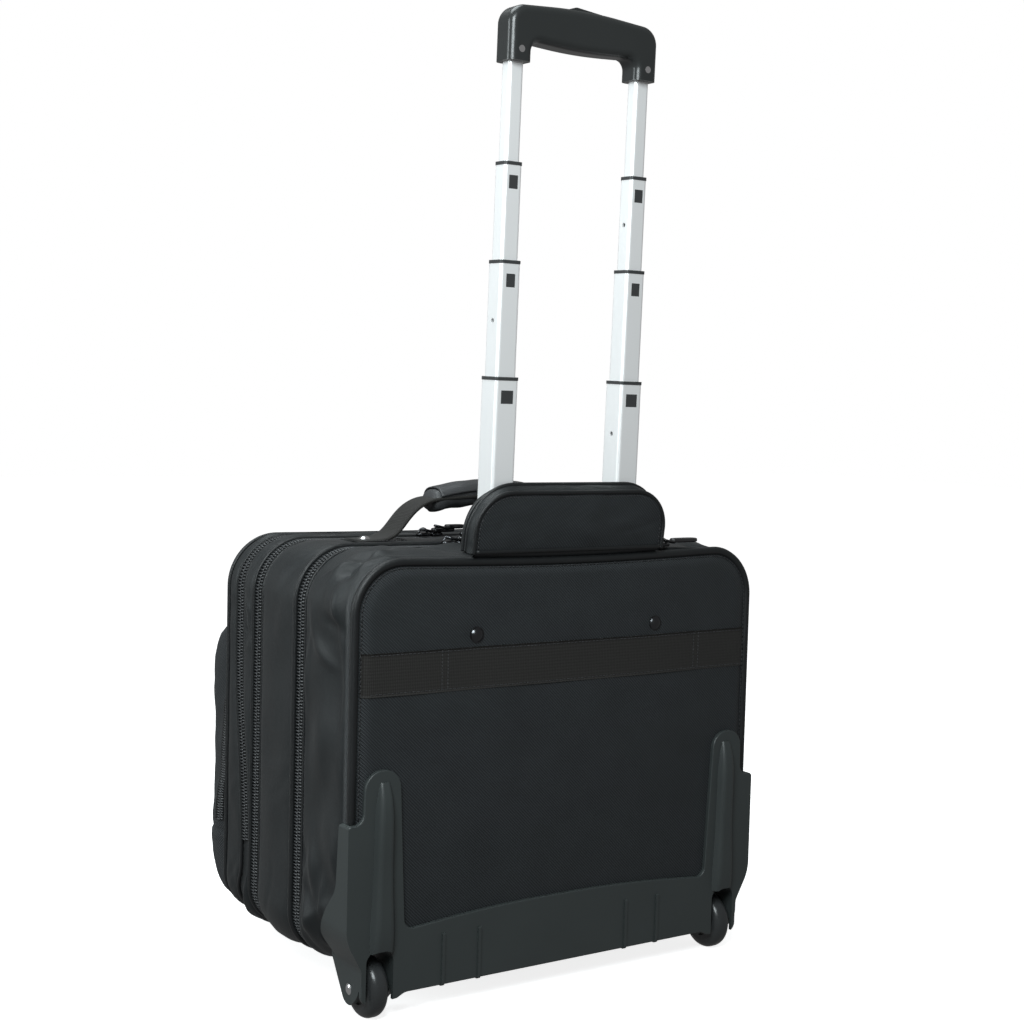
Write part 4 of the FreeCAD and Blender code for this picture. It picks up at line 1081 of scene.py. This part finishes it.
POCKET_HALF = 214.0
POCKET_Z = (38.5, 330.0)
POCKET_BACK = FLAP_FRONT - 0.8
POCKET_SEAM_Z = 103.0
POCKET_DEPTHS = [(38, 32), (42, 43), (52, 55), (70, 66), (100, 73), (150, 74.5), (205, 74.5), (250, 73),
                 (282, 68), (304, 57), (320, 38), (329, 18)]      # (height, how far it stands out) pairs


def pocket_outline(z):
    """The pocket's outline seen from above at height z, side wall to side wall."""
    depth = float(np.interp(z, *zip(*POCKET_DEPTHS)))
    radius, face = min(14.0, depth * 0.5), POCKET_BACK - depth
    turn = np.linspace(0, math.pi / 2, 12)[:-1]
    half = POCKET_HALF - 5.0 * (1 - min(depth / 55.0, 1.0))
    wall = xyz(half, np.linspace(POCKET_BACK, face + radius, 10)[:-1], z)
    corner = xyz(half - radius + radius * np.cos(turn), face + radius - radius * np.sin(turn), z)
    front = xyz(np.linspace(half - radius, radius - half, 56), face, z)
    right = np.concatenate([wall, corner])
    return np.concatenate([right, front, right[::-1] * np.array([-1.0, 1.0, 1.0])])


def front_pocket():
    """The stuffed pocket, swelled from its stitched back and draped in soft folds."""
    rows = np.array([pocket_outline(z) for z in np.linspace(*POCKET_Z, 76)])
    back = rows * np.array([1.0, 0.0, 1.0]) + np.array([0.0, POCKET_BACK, 0.0])
    rows = np.concatenate([back[:1], rows, back[-1:]])
    n, m = rows.shape[:2]
    index = np.arange(n * m).reshape(n, m)
    quads = np.stack([index[:-1, :-1], index[:-1, 1:], index[1:, 1:], index[1:, :-1]], -1).reshape(-1, 4)
    rear = np.stack([index[1:, 0], index[1:, -1], index[:-1, -1], index[:-1, 0]], -1)
    obj = new_object("front_pocket_fabric", rows, np.concatenate([quads, rear]))

    def free(points):
        return smooth(FLAP_FRONT - 1, FLAP_FRONT - 26, (points[:, 1] - SEAM_Y) * 1000)

    def drape(points, normals):
        x, y, z = points.T
        inside = smooth(FLAP_FRONT - 2, FLAP_FRONT - 18, y)
        wrap = np.abs(x) + (FLAP_FRONT - y) * smooth(POCKET_HALF - 50, POCKET_HALF, np.abs(x))
        folds = creases(wrap * np.sign(x) + 300, z, 70, 60, 320, 44, 5, 60.0)
        ripple = slow_noise(wrap * np.sign(x), z, 75.0, 9.0)
        seam = np.exp(-((z - POCKET_SEAM_Z) / 2.4) ** 2)
        return normals * ((folds * 0.9 + ripple * 1.6 - 0.6) * inside - seam * 1.8 * inside)[:, None]

    puff(obj, 0.006, 4.0, 0.004, free)
    subdivide(obj)
    press(obj, drape)
    box_uv(obj)
    finish_piece(obj, "twill", "front_flap", ("front_pocket",))
    pocket_zip(obj)
    pocket_seams(obj)


def pocket_zip(pocket):
    """The pocket's own zip, up one side, over the top and down the other."""
    half, back = POCKET_HALF, FLAP_FRONT
    route = [(half, back - 39, 114), (half, back - 37, 150), (half, back - 32, 190), (half, back - 27, 230),
             (half - 1, back - 22, 262), (half - 4, back - 17, 288), (half - 16, back - 14, 310),
             (half - 50, back - 13, 323), (0, back - 13, 326)]
    line, out = on_surface(pocket, smooth_line(mirrored(route), 420, 30), 0.6)
    _, up, across = frames_along(line, False, out)
    for side, tag in ((1, "inner"), (-1, "outer")):
        name, toward = "zip_4_" + tag, across * side
        zip_tape(name, line, up, toward, ((0.2, 0.3), (2.0, 0.6), (5.0, 0.1), (6.4, -0.8)), 1.2, side < 0,
                 "front_flap")
        zip_teeth(name, line, up, toward, (5.8, 0.9), (2.2, 1.1), 2.6, 1.8 if side > 0 else 0.5, "front_flap")
        cord(name + "_cord", line + toward * 7.6 - up * 0.3, up, 1.5, "piping", "front_flap", count=8)


def pocket_seams(pocket):
    """Two rows of stitches round the pocket's foot."""
    half, back, z = POCKET_HALF, FLAP_FRONT, POCKET_SEAM_Z
    route = [(half + 2, back - 4, z), (half + 2, back - 30, z), (half - 6, back - 62, z),
             (half - 30, back - 76, z), (0, back - 78, z)]
    for k, shift in enumerate((-3.4, 3.4)):
        path = smooth_line(mirrored(route), 300, 6) + np.array([0.0, 0.0, shift])
        row, row_out = on_surface(pocket, path, 0.15)
        sew("pocket_seam_%d" % k, row, row_out, "front_flap")


def front_flap():
    """The flap's own face, closing its ring; the pocket is sewn to it."""
    inner = FLAP_FRONT + FLAP_SKIN
    x, z, m = case_panel(2.6, (72, 60))
    pad("front_flap_face", x, z, inner - 0.6, FLAP_FRONT + 0.2 + 0.9 * m ** 6, "twill", "front_flap",
        ("front_flap",))
    x, z, m = case_panel(6.0, (48, 40))
    finish_piece(two_faced("front_flap_lining", x, z, inner, inner - 0.5), "lining", "front_flap")


# ---- inside ---------------------------------------------------------------------

def quilt(x, z, m, deep):
    """A padded divider's face, held down along its rim and in wide channels."""
    rim = smooth(1.0, 0.9, m)
    channels = np.abs(np.sin(math.pi * (x + 2000.0) / 72.0)) ** 0.35
    return deep * rim * (0.45 + 0.55 * channels) + 0.3 * slow_noise(x, z, 50.0, 2.0) * rim


def divider(node, body, deep):
    """A foam divider that closes one side of a section."""
    low, high = node_y(node)
    x, z, m = case_panel(5.2, (110, 88))
    face = quilt(x, z, m, deep)
    pad(node + "_pad", x, z, high - 0.4, low + 0.6 + deep - face, "lining", body, (node,))
    cord(node + "_binding", xyz(x[:, -1], high - 1.4, z[:, -1]), (0, 0, 1), 2.0, "webbing", body, count=8)


def lining_board():
    """The padded board that covers the handle's tubes."""
    low, high = node_y("lining_board")
    x, z, m = case_panel(5.2, (80, 70), dropped=False)
    pad("lining_board_pad", x, off_wells(x, 0, z), high, low - 0.8 * smooth(1.0, 0.93, m), "lining", "case",
        ("lining_board",))


def laptop_sleeve():
    """A foam sleeve for the laptop, open at the top, with a hook and loop strap over it."""
    low, high = box_of("laptop_sleeve")
    mid_y, mid_z, half_w = (low.y + high.y) / 2, (low.z + high.z) / 2, high.x
    x, z, m = rounded_panel(half_w, low.z, high.z, 22.0, 8.0, (90, 70))
    rim = smooth(1.0, 0.86, m)
    pad("laptop_sleeve_front", x, z, low.y + 4.6 - 0.6 * rim, low.y + 1.6 - 1.4 * rim, "lining",
        "laptop_section", ("laptop_sleeve",))
    pad("laptop_sleeve_back", x, z, high.y - 0.2, high.y - 2.6 - 0.8 * rim, "lining", "laptop_section")
    turn = np.linspace(0, -math.pi / 2, 10)
    edge = [(half_w - 2, high.z - 3)]
    edge += [(half_w - 24 + 22 * math.cos(t), low.z + 23.5 + 22 * math.sin(t)) for t in turn]
    edge += [(0, low.z + 1.5)]
    path = smooth_line(mirrored([(-a, mid_y, b) for a, b in edge]), 160, 3)
    wall = sweep("laptop_sleeve_wall", path, path - np.array([0, mid_y, mid_z]),
                 strap_section(high.y - low.y - 4, 1.8))
    finish_piece(wall, "satin", "laptop_section")
    strap_line = [(0, high.y - 2, high.z - 40), (0, high.y - 3, high.z - 6), (0, high.y - 6, high.z + 3),
                  (0, mid_y, high.z + 5), (0, low.y + 4, high.z + 1), (0, low.y - 1.6, high.z - 14),
                  (0, low.y - 1.9, high.z - 60)]
    path = smooth_line(strap_line, 60, 3)
    strap = sweep("laptop_sleeve_strap", path, np.cross(np.gradient(path, axis=0), np.array([1.0, 0, 0])),
                  strap_section(50.0, 2.2))
    finish_piece(strap, "webbing", "laptop_section")


def organizer_pockets():
    """Slip pockets on the organizer's back wall: three in a row in front of a wide tall one."""
    low, high = box_of("organizer_pockets")
    shapes = [("tall", -high.x, high.x, low.z, high.z, 3.0),
              ("left", 6.0, high.x - 6, low.z + 4, high.z - 70, 6.4),
              ("middle", -78.0, -2.0, low.z + 4, high.z - 60, 6.4),
              ("right", -high.x + 6, -86.0, low.z + 4, high.z - 84, 6.4)]
    for name, left, right, foot, top, out in shapes:
        half = (right - left) / 2
        x, z, m = rounded_panel(half, foot, top, 8.0, 5.0, (50, 40))
        rim = smooth(1.0, 0.82, m)
        face = high.y - out - 2.6 * rim - 0.6 * slow_noise(x, z, 40.0, half) * rim
        pad("organizer_pocket_" + name, x + (left + right) / 2, z, high.y - out + 2.4, face, "lining",
            "organizer_section", ("organizer_pockets",))
        hem = xyz(np.linspace(left + 5, right - 5, 40), high.y - out - 1.0, top - 1)
        cord("organizer_hem_" + name, hem, (0, 0, 1), 1.9, "webbing", "organizer_section", count=8)


# ---- zip sliders and pulls --------------------------------------------------------

def rounded_power(turn, power):
    """Cosine and sine of a turn, squared off by a power under 1."""
    c, s = np.cos(turn), np.sin(turn)
    return np.sign(c) * np.abs(c) ** power, np.sign(s) * np.abs(s) ** power


def lofted(name, centre, levels, material, body, replaces=()):
    """A rounded block from (z, half length, half width) levels about a centre's x and y."""
    c, s = rounded_power(np.linspace(0, 2 * math.pi, 32, endpoint=False), 0.6)
    rows = [xyz(centre[0] + half_l * c, centre[1] + half_w * s, z) for z, half_l, half_w in levels]
    rows = [np.broadcast_to(rows[0].mean(0), (32, 3))] + rows + [np.broadcast_to(rows[-1].mean(0), (32, 3))]
    finish_piece(grid_object(name, np.array(rows), wrap_v=True, flip=True), material, body, replaces)


def slider(name, x, y, z, body, replaces=()):
    """A slider's body and the bail that holds its pull, lying along x."""
    levels = [(z + 0.3, 5.6, 4.2), (z + 0.7, 6.6, 5.2), (z + 2.4, 6.6, 5.2), (z + 3.0, 6.0, 4.6),
              (z + 3.4, 4.4, 3.4)]
    lofted(name + "_block", (x, y), levels, "gunmetal", body, replaces)
    turn = np.linspace(0, math.pi, 16)
    arch = xyz(x + 4.8 * np.cos(turn), y, z + 2.8 + 5.0 * np.sin(turn))
    bail = sweep(name + "_bail", arch, (0, 1, 0), round_section(1.0, 8) * np.array([1.7, 1.0]))
    finish_piece(bail, "gunmetal", body)


def pull(name, x, y, z, reach, body, replaces=()):
    """A wire ring through the bail, and a moulded tab at its end. It lies along -x."""
    level = z + 5.9
    turn = np.linspace(0, 2 * math.pi, 40, endpoint=False)
    c, s = rounded_power(turn, 0.8)
    ring = xyz(x - 6.2 + 7.4 * c, y + 4.8 * s, level + 0.22 * np.cos(turn) * 7.4 - 0.6)
    cord(name + "_ring", ring, (0, 0, 1), 1.25, "gunmetal", body, 8, True, replaces)
    start, end = x - 10.5, x - reach
    levels = [(level + dz, (start - end) / 2 * a, 5.4 * b) for dz, a, b in
              ((-2.2, 0.86, 0.7), (-1.7, 0.97, 0.95), (-0.9, 1.0, 1.0), (0.7, 1.0, 1.0), (1.5, 0.97, 0.93),
               (1.9, 0.9, 0.8), (1.3, 0.72, 0.5), (1.2, 0.3, 0.2))]
    lofted(name + "_tab", ((start + end) / 2, y), levels, "lacquer", body)


def pullers():
    """Two sliders on each main zip, drawn up together, and one each for the hood and front."""
    for k, reach in ((1, 34), (2, 36)):
        low, high = box_of("zip_%d_slider" % k)
        at, body, tab = (low.x + high.x) / 2, "zip_%d_slider" % k, "zip_%d_pull" % k
        slider(body, at, ZIP_Y[k - 1], CASE_HIGH, body, (body,))
        pull(tab, at, ZIP_Y[k - 1], CASE_HIGH, reach, tab, (tab,))
        slider("zip_%d_second" % k, at - 15.0, ZIP_Y[k - 1] + 0.4, CASE_HIGH, body)
        pull("zip_%d_second_pull" % k, at - 13.0, ZIP_Y[k - 1] + 4.5, CASE_HIGH + 3.6, reach - 4, body)
    low, high = box_of("hood_slider")
    x, y = (low.x + high.x) / 2, (low.y + high.y) / 2
    slider("hood_slider", x, y, CASE_HIGH, "hood_slider", ("hood_slider",))
    pull("hood_pull", x, y, CASE_HIGH, 42, "hood_pull", ("hood_pull",))
    slider("zip_3_slider", -60, ZIP_Y[2], CASE_HIGH, "front_flap")
    pull("zip_3_pull", -60, ZIP_Y[2], CASE_HIGH, 34, "front_flap")


def repaint_frame():
    """Materials for the CAD nodes that show as they are."""
    repaint("moulding", "base_moulding", "tube_bezel", "tube_bracket", "front_feet")
    repaint("grip", "grip_lower", "grip_upper", "release_button")
    repaint("collar", *["stage_%d_collars" % k for k in (1, 2, 3)])
    repaint("collar", *["stage_%d_plugs" % k for k in (1, 2, 3, 4)])
    tubes = ["outer_tube"] + ["stage_%d_tube" % k for k in (1, 2, 3, 4)]
    repaint("tube", *[name + "_" + tag for name in tubes for _, tag in SIDES])
    repaint("steel", "frame_screws", "grip_screws", "wheel_axles", "button_spring", "release_rods")
    repaint("gunmetal", "panel_rivets")
    repaint("tyre", "wheel_tyre_left", "wheel_tyre_right")
    repaint("hub", "wheel_hub_left", "wheel_hub_right")


section_rings()
section_zips()
back_panel()
back_band()
hood()
carry_handle()
front_flap()
front_pocket()
divider("laptop_divider", "laptop_section", 1.6)
divider("organizer_divider", "organizer_section", 1.2)
lining_board()
laptop_sleeve()
organizer_pockets()
pullers()
repaint_frame()


# ---- stage ------------------------------------------------------------------------

CAMERA_AT = (0.8797, 1.2302 + SEAM_Y, 0.5432)
CAMERA_TURN = (146.408, 3.792, 1.472)      # azimuth, elevation and roll, in degrees
CAMERA_LENS = 57.59                        # on a sensor 36 mm wide
LIGHT_TINT = (0.9, 0.98, 1.0)
SURROUND_ON_CASE = 0.22                    # the white surround's strength, away from the camera's rays
FLOOR_HALF, FLOOR_GLOW = 9000, 0.82


def add_camera():
    """The reference view: from behind the case, on its wheel side, just above its top."""
    azimuth, elevation, roll = (math.radians(a) for a in CAMERA_TURN)
    back = Vector((math.sin(azimuth) * math.cos(elevation), -math.cos(azimuth) * math.cos(elevation),
                   math.sin(elevation)))
    side = Vector((0, 0, 1)).cross(back).normalized()
    up = back.cross(side)
    across = side * math.cos(roll) + up * math.sin(roll)
    upright = up * math.cos(roll) - side * math.sin(roll)
    matrix = Matrix((across, upright, back)).transposed().to_4x4()
    matrix.translation = Vector(CAMERA_AT)
    data = bpy.data.cameras.new("camera")
    data.sensor_width, data.lens = 36.0, CAMERA_LENS
    camera = bpy.data.objects.new("camera", data)
    camera.matrix_world = matrix
    bpy.context.scene.collection.objects.link(camera)
    bpy.context.scene.camera = camera


def add_light(name, place_at, target, size, energy):
    data = bpy.data.lights.new(name, "AREA")
    data.shape, data.size, data.size_y, data.energy = "RECTANGLE", size[0], size[1], energy
    data.color = LIGHT_TINT
    light = bpy.data.objects.new(name, data)
    light.location = place_at
    light.rotation_euler = (Vector(target) - Vector(place_at)).to_track_quat("-Z", "Y").to_euler()
    bpy.context.scene.collection.objects.link(light)


def add_surround():
    """A white surround that the camera sees at full strength and the case sees dimmed."""
    world = bpy.data.worlds.new("studio")
    world.use_nodes = True
    tree = world.node_tree
    surround = tree.nodes["Background"]
    surround.inputs["Color"].default_value = (1, 1, 1, 1)
    seen = tree.nodes.new("ShaderNodeMapRange")
    seen.inputs["To Min"].default_value = SURROUND_ON_CASE
    seen.inputs["To Max"].default_value = 1.0
    tree.links.new(tree.nodes.new("ShaderNodeLightPath").outputs["Is Camera Ray"], seen.inputs["Value"])
    tree.links.new(seen.outputs["Result"], surround.inputs["Strength"])
    bpy.context.scene.world = world


def add_floor():
    """A plain pale floor that doesn't light the case."""
    square = [(a * FLOOR_HALF, b * FLOOR_HALF, 0) for a, b in ((-1, -1), (1, -1), (1, 1), (-1, 1))]
    floor = new_object("floor", square, [[0, 1, 2, 3]])
    Shader("floor", (0.9, 0.9, 0.9), 0.8, Specular_IOR_Level=0.1, Emission_Color=(1, 1, 1, 1),
           Emission_Strength=FLOOR_GLOW)
    floor.data.materials.append(MATERIALS["floor"])
    floor.visible_diffuse = floor.visible_glossy = False


add_camera()
add_surround()
add_light("key", (0.95, 1.05, 1.25), (0.1, 0.1, 0.36), (0.7, 0.7), 27)
add_light("side", (3.0, -1.2, 1.3), (0, 0, 0.35), (0.6, 1.6), 40)
add_light("top", (0.4, -0.6, 2.6), (0, 0, 0.35), (1.4, 1.4), 34)
add_floor()
bpy.context.scene.view_settings.view_transform = "Standard"
